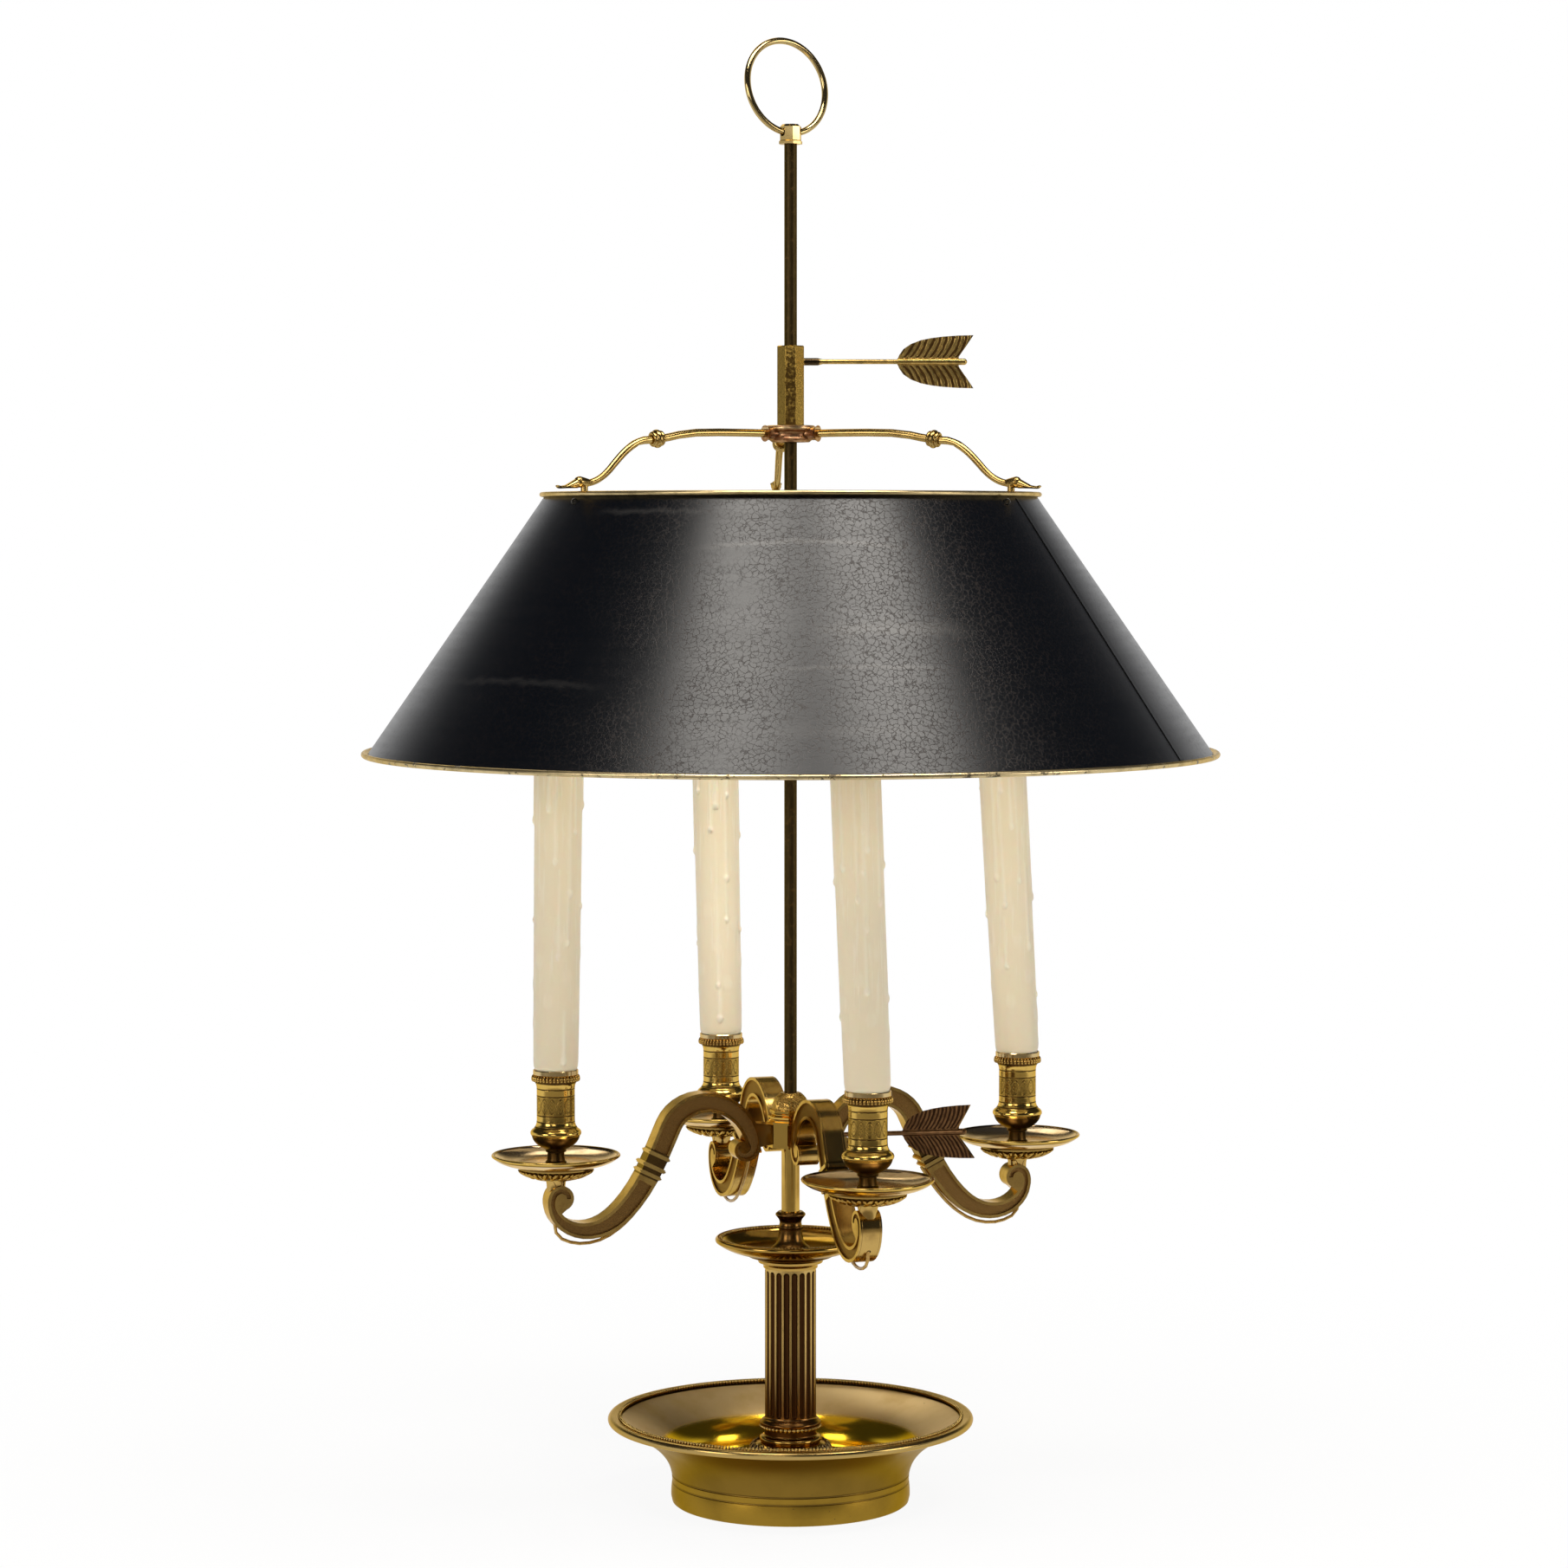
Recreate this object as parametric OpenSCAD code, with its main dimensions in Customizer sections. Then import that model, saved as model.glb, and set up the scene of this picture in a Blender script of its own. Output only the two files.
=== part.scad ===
// Bouillotte lamp: a dished base and fluted column carry a plain rod, on which
// a cluster of four scrolled candle arms and a tole shade slide, turn and lock.
// Origin: centre of the foot, on the surface that the lamp stands on. +Z is up,
// and -Y is the side that the lamp is looked at from.

/* [Stand] */
// Radius of the foot band
foot_r = 71.1; // [66:0.1:74]
// Outer radius of the base's rolled rim
rim_r = 109.5; // [100:0.5:118]
// Height of the middle of the base's rim
rim_z = 49.5; // [46:0.5:54]
// Height of the floor inside the base
well_z = 15; // [12:0.5:20]
// Thickness of the spun brass
spun_t = 2.4; // [1.6:0.1:3]
// Radius of the fluted column
column_r = 15.3; // [14.5:0.1:16]
// Number of flutes round the column
flutes = 20; // [16:1:22]
// Height of the top of the column
column_top = 141; // [139:0.5:143]
// Outer radius of the drip tray above the column
tazza_r = 45.1; // [40:0.1:50]
// Height of the drip tray's rim
tazza_z = 157.6; // [156:0.2:160]

/* [Rod] */
// Diameter of the rod
rod_d = 7.5; // [7:0.1:8]
// Height of the top of the rod's shoulder, under the finial
rod_top = 808; // [800:1:830]
// Running clearance of what slides on the rod, on the radius
run = 0.07; // [0.05:0.01:0.1]

/* [Arms] */
// Distance of each candle from the rod
candle_r = 144.5; // [142:0.5:147]
// Direction of the first arm, turned from +X
arm_turn = 17.5; // [0:0.5:45]
// Width of an arm's band
arm_w = 13; // [11:0.5:14]
// Depth of the recessed panels in an arm's sides
panel_depth = 1.2; // [0.6:0.1:2]
// Width of the raised border round the panels
border_w = 1.9; // [1.4:0.1:2.4]
// Height of the underside of the arm hub
hub_z = 213.7; // [213:0.1:215]
// Radius of a drip pan
pan_r = 37.9; // [34:0.1:42]
// Height of a drip pan's rim
pan_z = 214.7; // [214:0.1:216]
// Height of a candle cup's lip
cup_top = 265.5; // [264:0.1:267]
// Length of a candle cover
cover_len = 203; // [180:1:215]
// Diameter of the wire under each arm
wire_d = 2; // [1.6:0.1:2.4]

/* [Shade] */
// Radius of the shade's sheet at its top edge
shade_top_r = 145.8; // [145:0.1:147]
// Radius of the shade's sheet at its bottom edge
shade_bottom_r = 250; // [240:0.5:252]
// Height of the sheet's top edge
shade_top_z = 600.6; // [599:0.1:601.5]
// Height of the sheet's bottom edge
shade_bottom_z = 449.5; // [446:0.5:460]
// Outer radius of the band on the top edge
band_r = 148.5; // [147.5:0.1:150]
// Thickness of the tole sheet
tole_t = 0.9; // [0.7:0.1:1.5]
// Direction of the first swan neck, turned from +X
swan_turn = -26.5; // [-60:0.5:60]

/* [Handle] */
// Radius of the ring handle, to the middle of its wire
ring_r = 27.7; // [25:0.1:29]
// Diameter of the ring's wire
ring_d = 3.8; // [3.4:0.1:4.4]
// Direction of the ring's bore, turned from +X
ring_turn = 35; // [0:1:90]
// Lean of the ring from upright
ring_lean = 9; // [0:1:20]

/* [Hidden] */
$fn = 48;
EPS = 0.02;
rod_r = rod_d / 2;
bore_r = rod_r + run;
ARMS = [0:3];
SWANS = [0:2];
arm_dir = [for (i = ARMS) arm_turn + 90 * i];
// How far each candle leans, towards +X
candle_lean = [-3.2, -1.2, 0.75, -2.3];
swan_dir = [for (i = SWANS) swan_turn + 120 * i];

// ---------------------------------------------------------------- helpers

// Points of a quadratic curve from a to c that leans towards b
function bend(a, b, c, n = 8) =
    [for (i = [0:n]) let (t = i / n) (1 - t) * (1 - t) * a + 2 * t * (1 - t) * b + t * t * c];
// Points of an arc round c, from angle a0 to a1
function arc(c, r, a0, a1, n = 8) =
    [for (i = [0:n]) let (a = a0 + (a1 - a0) * i / n) c + r * [cos(a), sin(a)]];
// Value at x on a list of [x, value] stations
function at(stations, x, i = 0) =
    i >= len(stations) - 2 || x <= stations[i + 1].x
    ? let (a = stations[i], b = stations[i + 1])
      a.y + (b.y - a.y) * (x - a.x) / (b.x - a.x)
    : at(stations, x, i + 1);

module revolve(points) {
    rotate_extrude($fn = 96) polygon(points);
}
module rod_bore(z0, z1, r = bore_r) {
    translate([0, 0, z0]) cylinder(r = r, h = z1 - z0);
}
// An octagonal turning. Its profile is drawn across the flats.
module octagonal(points, turn = 0) {
    rotate([0, 0, 22.5 + turn]) rotate_extrude($fn = 8)
        polygon([for (p = points) [p.x / cos(22.5), p.y]]);
}
// A shape drawn as (distance from the rod, height), set upright at an angle
module upright(angle, w) {
    rotate([0, 0, angle]) rotate([90, 0, 0])
        translate([0, 0, -w / 2]) linear_extrude(w) children();
}
// A round bar along a list of points in the plane of an arm or a swan neck.
// r is the radius, or one radius for each point.
module swept(points, r, sides = 12) {
    n = len(points);
    function dir(i) = let (a = points[max(0, i - 1)], b = points[min(n - 1, i + 1)])
        (b - a) / norm(b - a);
    rings = [for (i = [0:n - 1]) let (d = dir(i), m = [-d.y, d.x], q = is_list(r) ? r[i] : r)
        for (k = [0:sides - 1]) let (a = 360 * k / sides)
            [points[i].x + q * cos(a) * m.x, q * sin(a), points[i].y + q * cos(a) * m.y]];
    sides_of = [for (i = [0:n - 2]) for (k = [0:sides - 1]) let (l = (k + 1) % sides)
        for (f = [0:1]) f == 0
            ? [i * sides + k, (i + 1) * sides + l, (i + 1) * sides + k]
            : [i * sides + k, i * sides + l, (i + 1) * sides + l]];
    first = [for (k = [sides - 1:-1:0]) k];
    last = [for (k = [0:sides - 1]) (n - 1) * sides + k];
    polyhedron(rings, concat(sides_of, [first, last]));
}

// ------------------------------------------------------------ base, column

groove_z = [12.6, 17];
lip_r = 2.4;
lip_c = [rim_r - lip_r, rim_z + 0.4];

module base_dish() {
    outer = concat(
        [[foot_r - 1.2, 0], [foot_r - 0.2, 0.8]],
        bend([foot_r + 0.5, 4], [foot_r + 0.6, 8], [foot_r, 12]),
        bend([foot_r - 0.1, 14], [foot_r + 0.4, 34], [lip_c.x - 4.8, rim_z - 3.2], 12),
        arc(lip_c, lip_r, -90, 100, 12),
        [[lip_c.x - 3.7, lip_c.y + 2], [lip_c.x - 4.1, lip_c.y + 0.7]]);
    inner = concat(
        bend([lip_c.x - 4.9, rim_z + 0.5], [foot_r - 1, 38], [foot_r - 2.6, well_z + 6], 12),
        arc([foot_r - 8.6, well_z + 6], 6, 0, -90, 6));
    underside = [[0, well_z], [0, well_z - spun_t], [foot_r - 6, well_z - spun_t],
                 [foot_r - spun_t, well_z - 6], [foot_r - spun_t, 0]];
    color([0.66, 0.53, 0.22]) difference() {
        revolve(concat(outer, inner, underside));
        for (z = groove_z) translate([0, 0, z]) rotate_extrude($fn = 96)
            translate([foot_r + 0.35, 0]) circle(r = 0.7, $fn = 16);
        rod_bore(0, well_z + 1, rod_r + EPS);
    }
}

module base_ballast() {
    color([0.2, 0.2, 0.21]) difference() {
        translate([0, 0, 2]) cylinder(r = foot_r - 9, h = well_z - spun_t - 2, $fn = 96);
        translate([0, 0, 1]) cylinder(r = 13, h = 7.6);
        rod_bore(1, well_z, rod_r + EPS);
    }
}

module base_locknut() {
    color([0.6, 0.5, 0.25]) difference() {
        union() {
            translate([0, 0, 7.4]) cylinder(r = 11, h = 1.2);
            translate([0, 0, 2.4]) cylinder(r = 9, h = 5, $fn = 6);
        }
        rod_bore(2, 9, rod_r + EPS);
    }
}

module felt_pad() {
    color([0.12, 0.25, 0.14]) cylinder(r = foot_r - spun_t - 0.4, h = 2, $fn = 96);
}

foot_top = 45;
module column_foot() {
    color([0.4, 0.28, 0.12]) difference() {
        revolve(concat(
            [[0, well_z], [27, well_z], [27.6, well_z + 2]],
            bend([27, well_z + 4], [25.5, 27], [24.4, 30.5], 5),
            bend([24.6, 31.5], [24, 34], [19.5, 35.4], 5),
            arc([17, 37.7], 1.75, -70, 90, 6), bend([16.2, 39.6], [15.4, 40], [15.4, 41], 4),
            [[15.4, foot_top], [0, foot_top]]));
        rod_bore(0, 60, rod_r + EPS);
    }
}

flute_r = 1.85;
module column() {
    shaft_z = [53.5, 137.8];
    color([0.55, 0.43, 0.18]) difference() {
        revolve(concat(
            [[0, foot_top], [17.2, foot_top]], arc([16.8, foot_top + 2.4], 1.5, -60, 60, 6),
            bend([16.9, 49.7], [15.5, 50], [column_r, 51.4], 4),
            [[column_r, column_top], [0, column_top]]));
        for (i = [0:flutes - 1]) rotate([0, 0, 360 * (i + 0.5) / flutes])
            translate([column_r + 0.35, 0, 0]) {
                translate([0, 0, shaft_z[0]]) cylinder(r = flute_r, h = shaft_z[1] - shaft_z[0], $fn = 24);
                for (z = shaft_z) translate([0, 0, z]) sphere(r = flute_r, $fn = 24);
            }
        rod_bore(40, 150, rod_r + EPS);
    }
}

tazza_foot = column_top + 5;
module capital() {
    color([0.62, 0.48, 0.2]) difference() {
        revolve(concat(
            [[0, column_top], [16.2, column_top], [16.4, column_top + 0.8]],
            bend([16.4, column_top + 1.2], [16.8, column_top + 2.8], [19.2, column_top + 3.2], 5),
            [[19.4, column_top + 3.6], [19.4, tazza_foot], [0, tazza_foot]]));
        rod_bore(140, 150, rod_r + EPS);
    }
}

tazza_floor = tazza_foot + 5.6;
module tazza() {
    color([0.5, 0.4, 0.2]) difference() {
        revolve(concat(
            [[0, tazza_foot], [20.5, tazza_foot], [21.4, tazza_foot + 0.8]],
            bend([24.2, tazza_foot + 1.6], [26, tazza_foot + 1.8], [26.6, tazza_foot + 3.2], 4),
            bend([27.6, tazza_foot + 3.6], [37, tazza_foot + 5], [tazza_r - 2, tazza_z - 2.2], 6),
            arc([tazza_r - 1.7, tazza_z], 1.7, -80, 150, 10),
            bend([tazza_r - 3.6, tazza_z], [36, tazza_floor + 0.6], [28, tazza_floor], 6),
            [[0, tazza_floor]]));
        rod_bore(140, 160, rod_r + EPS);
    }
}

collar_top = 174.6;
module stem_collar() {
    color([0.42, 0.3, 0.13]) difference() {
        revolve(concat(
            [[0, tazza_floor], [12.4, tazza_floor], [12.2, tazza_floor + 1]],
            bend([11.4, tazza_floor + 1.6], [7, tazza_floor + 4], [6.9, 163.6], 6),
            arc([6.3, 165.3], 1, -50, 50, 4), [[6.7, 166.8]], bend([6.5, 168], [6.6, 170], [8.2, 171.4], 4),
            arc([7.9, 172.8], 1.1, -60, 60, 6), [[7.4, collar_top], [0, collar_top]]));
        rod_bore(150, 180, rod_r + EPS);
    }
}

// ---------------------------------------------------------------------- rod

spigot_r = 2.5;
spigot_h = 3;
module stem_rod() {
    color([0.2, 0.16, 0.1]) {
        translate([0, 0, 3]) cylinder(r = rod_r, h = rod_top - 3);
        translate([0, 0, rod_top]) cylinder(r = spigot_r, h = spigot_h);
    }
}

block_w = 11.8;
block_h = 11.6;
ring_z = rod_top + 6.8;
ring_hole_r = ring_d / 2 + 0.5;
module finial_block() {
    color([0.55, 0.44, 0.2]) difference() {
        translate([0, 0, rod_top]) octagonal([[0, 0], [block_w / 2 + 0.6, 0], [block_w / 2 + 0.6, 1.6],
            [block_w / 2, 2.2], [block_w / 2, block_h - 1.4], [block_w / 2 - 1.4, block_h], [0, block_h]],
            ring_turn);
        translate([0, 0, ring_z]) rotate([0, 0, ring_turn]) rotate([0, 90, 0])
            translate([0, 0, -10]) cylinder(r = ring_hole_r, h = 20);
        translate([0, 0, rod_top - 1]) cylinder(r = spigot_r + EPS, h = spigot_h + 1 + EPS);
    }
}

module ring_handle() {
    sag = 0.3;
    color([0.72, 0.6, 0.3]) translate([0, 0, ring_z]) rotate([0, 0, ring_turn])
        rotate([-ring_lean, 0, 0]) translate([0, 0, ring_r - sag]) rotate([90, 0, 0])
            rotate_extrude($fn = 96) translate([ring_r, 0]) circle(d = ring_d, $fn = 24);
}

// -------------------------------------------------------------- arm cluster

hub_half = 12.95;
hub_top = 229.3;
cap_z = hub_top + 6.7;
module arm_tube() {
    color([0.72, 0.57, 0.27]) difference() {
        translate([0, 0, collar_top]) cylinder(r = 5.4, h = hub_z - collar_top);
        rod_bore(170, 220);
    }
}

screw_r = 2.2;
arrow_z = 220;
arrow_dir = arm_turn - 45;
arrow_lift = 5;
// Sets children, drawn along +X from the rod, on the line of the arms' screw
module on_arrow_line() {
    translate([0, 0, arrow_z]) rotate([0, 0, arrow_dir]) rotate([0, -arrow_lift, 0]) children();
}
module arm_hub() {
    color([0.6, 0.48, 0.2]) difference() {
        octagonal(concat([[0, hub_z], [hub_half, hub_z], [hub_half, hub_top]],
            bend([hub_half - 1.6, hub_top + 0.3], [hub_half - 1.8, hub_top + 1.4],
                [hub_half - 0.5, hub_top + 1.8], 3),
            [[hub_half - 0.4, hub_top + 3]],
            bend([hub_half - 1.6, hub_top + 3.4], [hub_half - 3.4, hub_top + 4],
                [hub_half - 1.5, hub_top + 5.2], 3),
            [[hub_half - 1.5, cap_z], [0, cap_z]]), arm_turn);
        rod_bore(210, 240);
        on_arrow_line() rotate([0, 90, 0]) cylinder(r = screw_r + 0.05, h = 20, $fn = 32);
    }
}

cap_h = 10.1;
module hub_cap() {
    color([0.6, 0.48, 0.2]) difference() {
        octagonal(concat([[0, cap_z], [10.2, cap_z]],
            bend([10.2, cap_z + 2], [9.8, cap_z + 6.8], [5.7, cap_z + cap_h], 5),
            [[0, cap_z + cap_h]]), arm_turn);
        rod_bore(230, 250);
    }
}

// The middle line of an arm, from the eye of the outer scroll to the eye of
// the inner one. A leg is [turn, first radius, last radius]; a straight leg is
// [0, length, 0]. A turn to the right is negative.
arm_start = [candle_r - 3.7, 185.9];
arm_heading = 157;
arm_legs = [[-203.6, 4, 4.7], [-57.3, 4.7, 13.9], [-111.1, 13.9, 32], [-31, 32, 135], [0, 20, 0],
            [135, 20, 34], [20, 34, 6.3], [312, 6.3, 1.5]];
// Thickness of the band at the ends of the legs
arm_t = [5.9, 6.5, 6, 11.2, 12.4, 12.6, 10.6, 8.2, 3];
turn_step = 11;
function leg_len(leg) = leg[0] == 0 ? leg[1] : abs(leg[0]) * PI / 180 * (leg[1] + leg[2]) / 2;
function leg_steps(leg) = max(6, ceil(min(abs(leg[0]) / turn_step, leg_len(leg))));
// Stations of one leg as [distance from the rod, height, heading, thickness, turned so far]
function leg_walk(p, h, leg, t0, t1, turned, n, i = 0) =
    let (d = leg[0] / n,
         r = leg[1] + (leg[2] - leg[1]) * (i + 0.5) / n,
         step = leg[0] == 0 ? leg[1] / n : 2 * r * sin(abs(d) / 2),
         here = [p.x, p.y, h, t0 + (t1 - t0) * i / n, turned])
    i == n ? [here] : concat([here],
        leg_walk(p + step * [cos(h + d / 2), sin(h + d / 2)], h + d, leg, t0, t1, turned + abs(d), n, i + 1));
function walk(p, h, legs, t, turned = 0, k = 0) =
    k == len(legs) ? [] :
    let (w = leg_walk(p, h, legs[k], t[k], t[k + 1], turned, leg_steps(legs[k])),
         e = w[len(w) - 1])
    concat([for (i = [k == 0 ? 0 : 1:len(w) - 1]) w[i]],
           walk([e[0], e[1]], e[2], legs, t, e[4], k + 1));
stations = walk(arm_start, arm_heading, arm_legs, arm_t);
last_station = len(stations) - 1;
// A point beside a station; side 1 is the left of the way the line runs
function beside(s, side, inset = 0) =
    [s[0], s[1]] + side * (s[3] / 2 - inset) * [-sin(s[2]), cos(s[2])];
function when_turned(a, i = 0) = stations[i][4] >= a ? i : when_turned(a, i + 1);
total_turn = stations[last_station][4];
outer_notch = when_turned(278);
inner_notch = when_turned(total_turn - 328);
straight_i = when_turned(403);
// A station between two others
function between(i, u) = (1 - u) * stations[i] + u * stations[i + 1];
collar_s = between(straight_i - 1, 0.57);

module arm_outline() {
    polygon(concat(
        [for (i = [0:inner_notch]) beside(stations[i], 1)],
        [for (i = [last_station:-1:outer_notch]) beside(stations[i], -1)]));
}
module arm_panel(line) {
    last = len(line) - 1;
    polygon(concat(
        [for (i = [0:last]) beside(line[i], 1, border_w)],
        [for (i = [last:-1:0]) beside(line[i], -1, border_w)]));
}
lower_panel = concat([for (i = [when_turned(60):1:straight_i - 2]) stations[i]],
    [between(straight_i - 2, 0.5)]);
upper_panel = [for (i = [straight_i + 1:1:when_turned(total_turn - 90)]) stations[i]];
module collar_ridge(along, wide, proud) {
    translate([collar_s[0], collar_s[1]]) rotate([0, 0, collar_s[2]]) translate([along, 0]) {
        square([wide - 1.2, collar_s[3] + 2 * proud], center = true);
        square([wide, collar_s[3] + 2 * proud - 1.4], center = true);
    }
}
neck_z = 193;
neck_top = 200.8;
hole_i = when_turned(286);
wire_hole = stations[hole_i];
module arm(i) {
    color([0.5, 0.38, 0.17]) difference() {
        union() {
            upright(arm_dir[i], arm_w) arm_outline();
            for (along = [-6.05, 6.05]) upright(arm_dir[i], arm_w + 2) collar_ridge(along, 2.2, 1);
            upright(arm_dir[i], arm_w + 2.8) collar_ridge(-1.25, 2.4, 1.4);
            upright(arm_dir[i], arm_w - 1)
                polygon([[hub_half, 216], [25, 214.5], [25, 229.5], [hub_half, 228]]);
            rotate([0, 0, arm_dir[i]]) translate([candle_r, 0, 0]) revolve(concat(
                [[0, neck_z], [5.5, neck_z]],
                bend([5.5, neck_z + 3], [5.5, neck_z + 6.4], [6.6, neck_top], 4), [[0, neck_top]]));
        }
        for (s = [-1, 1]) rotate([0, 0, arm_dir[i]]) rotate([90, 0, 0])
            translate([0, 0, s * (arm_w / 2 - panel_depth) - (s < 0 ? 4 : 0)]) linear_extrude(4) {
                arm_panel(lower_panel);
                arm_panel(upper_panel);
            }
        rotate([0, 0, arm_dir[i]]) translate([candle_r, 0, 188]) cylinder(r = nipple_r, h = 20, $fn = 32);
        rotate([0, 0, arm_dir[i]]) translate([wire_hole[0], 0, wire_hole[1]])
            rotate([0, -wire_hole[2], 0]) cylinder(r = wire_d / 2 + 0.3, h = 12, $fn = 16);
    }
}

// The wire leaves the outer scroll, hangs in a small loop and follows the
// underside of the arm up to its collar.
wire_hang = [[286, -3], [296, 1.2], [304, 3.2], [312, 3.9], [328, 3.8], [349, 2.9], [372, 1.5], [388, 1.05],
             [403, 1.05]];
wire_path = [for (i = [hole_i:1:straight_i - 1])
    let (s = stations[i]) beside([s[0], s[1], s[2], s[3] + 2 * at(wire_hang, s[4]), 0], 1)];
module arm_wire(i) {
    color([0.75, 0.6, 0.3]) rotate([0, 0, arm_dir[i]]) swept(wire_path, wire_d / 2, 8);
}

pan_floor = 210.6;
cover_z = cup_top - 3;
nipple_r = 2.6;
module drip_pan(i) {
    color([0.66, 0.54, 0.27]) rotate([0, 0, arm_dir[i]]) translate([candle_r, 0, 0]) difference() {
        revolve(concat(
            [[0, neck_top], [11.6, neck_top], [12.4, neck_top + 0.8]],
            bend([12.6, neck_top + 1.6], [18, neck_top + 3.2], [22.4, neck_top + 6.4], 5),
            [[22.6, neck_top + 7.2]],
            bend([24.5, neck_top + 7.8], [33, 210], [pan_r - 0.8, pan_z - 1], 5),
            arc([pan_r - 0.9, pan_z], 0.9, -60, 130, 6),
            bend([pan_r - 2, pan_z - 0.2], [30, pan_floor + 0.4], [20, pan_floor], 5),
            [[0, pan_floor]]));
        translate([0, 0, 190]) cylinder(r = nipple_r, h = 30, $fn = 32);
    }
}

module candle_cup(i) {
    bore = 9.6;
    lip_bore = 12.65;
    color([0.62, 0.5, 0.2]) rotate([0, 0, arm_dir[i]]) translate([candle_r, 0, 0]) difference() {
        revolve(concat(
            [[0, pan_floor], [6.2, pan_floor], [6.2, pan_floor + 0.6]],
            bend([5.3, pan_floor + 1.2], [4.9, 213.5], [5, 216.6], 4), [[6, 217], [6.2, 218], [5.9, 218.6]],
            bend([7.2, 219], [12.6, 221.4], [14, 225.6], 6), arc([12.7, 228.2], 2.3, -50, 52, 8),
            bend([14, 230.2], [12.1, 231.2], [11.4, 234], 5), [[11.2, 236], [11.2, 253.6]],
            bend([11.2, 254.4], [11.4, 257.2], [12.4, 258.2], 5), arc([12.1, 260.6], 1.3, -60, 60, 6),
            [[13, 262.4], [13.3, 262.8], [13.3, cup_top - 0.4], [13, cup_top]],
            [[lip_bore, cup_top], [lip_bore, cover_z], [bore, cover_z], [bore, 224], [0, 224]]));
        translate([0, 0, 190]) cylinder(r = nipple_r, h = 40, $fn = 32);
    }
}

// Hollow screws that hold cup, pan and arm together
module cup_nipples() {
    color([0.5, 0.42, 0.2]) for (a = arm_dir) rotate([0, 0, a]) translate([candle_r, 0, 0]) difference() {
        union() {
            translate([0, 0, 191]) cylinder(r = nipple_r - EPS, h = 33, $fn = 32);
            translate([0, 0, 224]) cylinder(r = 5.5, h = 1.8, $fn = 6);
        }
        translate([0, 0, 190]) cylinder(r = 1.3, h = 40, $fn = 16);
    }
}

cover_top = cover_z + cover_len;
// Leans children, drawn upright over the origin, as candle i leans in its cup
module leaning(i) {
    rotate([0, 0, arm_dir[i]]) translate([candle_r, 0, cover_z]) rotate([0, 0, -arm_dir[i]])
        rotate([0, candle_lean[i], 0]) translate([0, 0, -cover_z]) children();
}
module candle_cover(i) {
    color([0.94, 0.9, 0.78]) difference() {
        leaning(i) revolve(concat(
            [[10.9, cover_z - 1], [12.2, cover_z - 1], [12.3, cup_top], [12.9, cup_top + 1.4]],
            bend([13.1, cup_top + 2.6], [13.3, cup_top + 6], [13.4, 290], 4),
            [[13.9, 380], [14.2, cover_top - 4]],
            arc([13.2, cover_top - 1], 1, 0, 90, 4), [[10.9, cover_top]]));
        rotate([0, 0, arm_dir[i]]) translate([candle_r, 0, cover_z - 5]) cylinder(r = 20, h = 5);
    }
}

socket_z = 396;
module lamp_socket(i) {
    color([0.85, 0.84, 0.8]) difference() {
        union() {
            rotate([0, 0, arm_dir[i]]) translate([candle_r, 0, 0]) {
                translate([0, 0, 225.8]) cylinder(r = 4.8, h = cover_z - 227.8, $fn = 32);
                translate([0, 0, cover_z - 3]) cylinder(r = 6.4, h = 3, $fn = 32);
            }
            leaning(i) translate([0, 0, cover_z - 2])
                cylinder(r = 4.6, h = socket_z - cover_z + 3, $fn = 32);
            leaning(i) translate([0, 0, socket_z]) cylinder(r = 10.2, h = cover_top - 4 - socket_z);
        }
        leaning(i) translate([0, 0, socket_z + 24]) cylinder(r = 7.2, h = 60);
        leaning(i) translate([0, 0, cover_z - 2]) cylinder(r = 2.5, h = socket_z - cover_z - 4, $fn = 32);
        rotate([0, 0, arm_dir[i]]) translate([candle_r, 0, 220])
            cylinder(r = 3, h = cover_z - 221, $fn = 32);
    }
}

bulb_z = cover_top - 4;
bulb_len = 84;
module bulb(i) {
    flame = [[0, 8.2], [0.06, 10.2], [0.16, 15.2], [0.28, 17.2], [0.4, 16.9], [0.55, 14], [0.7, 9.8],
             [0.83, 5.8], [0.93, 2.8], [1, 0.9]];
    color([0.98, 0.93, 0.78]) leaning(i) revolve(concat(
        [[0, socket_z + 26], [3, socket_z + 26], [7, socket_z + 29], [7, bulb_z]],
        [for (f = flame) [f.y, bulb_z + f.x * bulb_len]], [[0, bulb_z + bulb_len]]));
}

// ------------------------------------------------------------ arrow screws

// Each locking screw is an arrow: shaft, ribbed vane and a threaded point.
// The outline of one vane, from where it leaves the shaft.
vane_len = 45;
vane_outline = concat([[0, 0], [0, 1.2], [1.2, 4], [3.6, 7.4], [8, 10.4], [14, 12.7], [20, 13.9],
    [27, 14.8], [36, 15.4], [vane_len, 15.6]], bend([41, 9.6], [38, 5.4], [36.4, 3], 3), [[36, 0]]);
module arrow_screw(reach_in, vane_at) {
    rotate([0, 90, 0]) {
        translate([0, 0, reach_in]) cylinder(r = screw_r, h = 16 - reach_in, $fn = 32);
        translate([0, 0, 16]) cylinder(r1 = screw_r, r2 = 1.4, h = 3, $fn = 32);
        translate([0, 0, 19]) cylinder(r = 1.4, h = vane_at - 16, $fn = 32);
        translate([0, 0, vane_at]) cylinder(r = 1.9, h = 39.4, $fn = 32);
        translate([0, 0, vane_at + 39.4]) sphere(r = 1.9, $fn = 32);
    }
    for (s = [-1, 1]) translate([vane_at, 0, 0]) rotate([s > 0 ? 90 : -90, 0, 0]) difference() {
        translate([0, 0, -0.9]) linear_extrude(1.8) polygon(vane_outline);
        for (k = [0:5]) for (f = [-1, 1]) translate([5 + 5.4 * k, 1.5, f * 0.95]) rotate([0, 0, 60])
            rotate([0, 90, 0]) cylinder(r = 0.35, h = 16, $fn = 12);
    }
}
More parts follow.
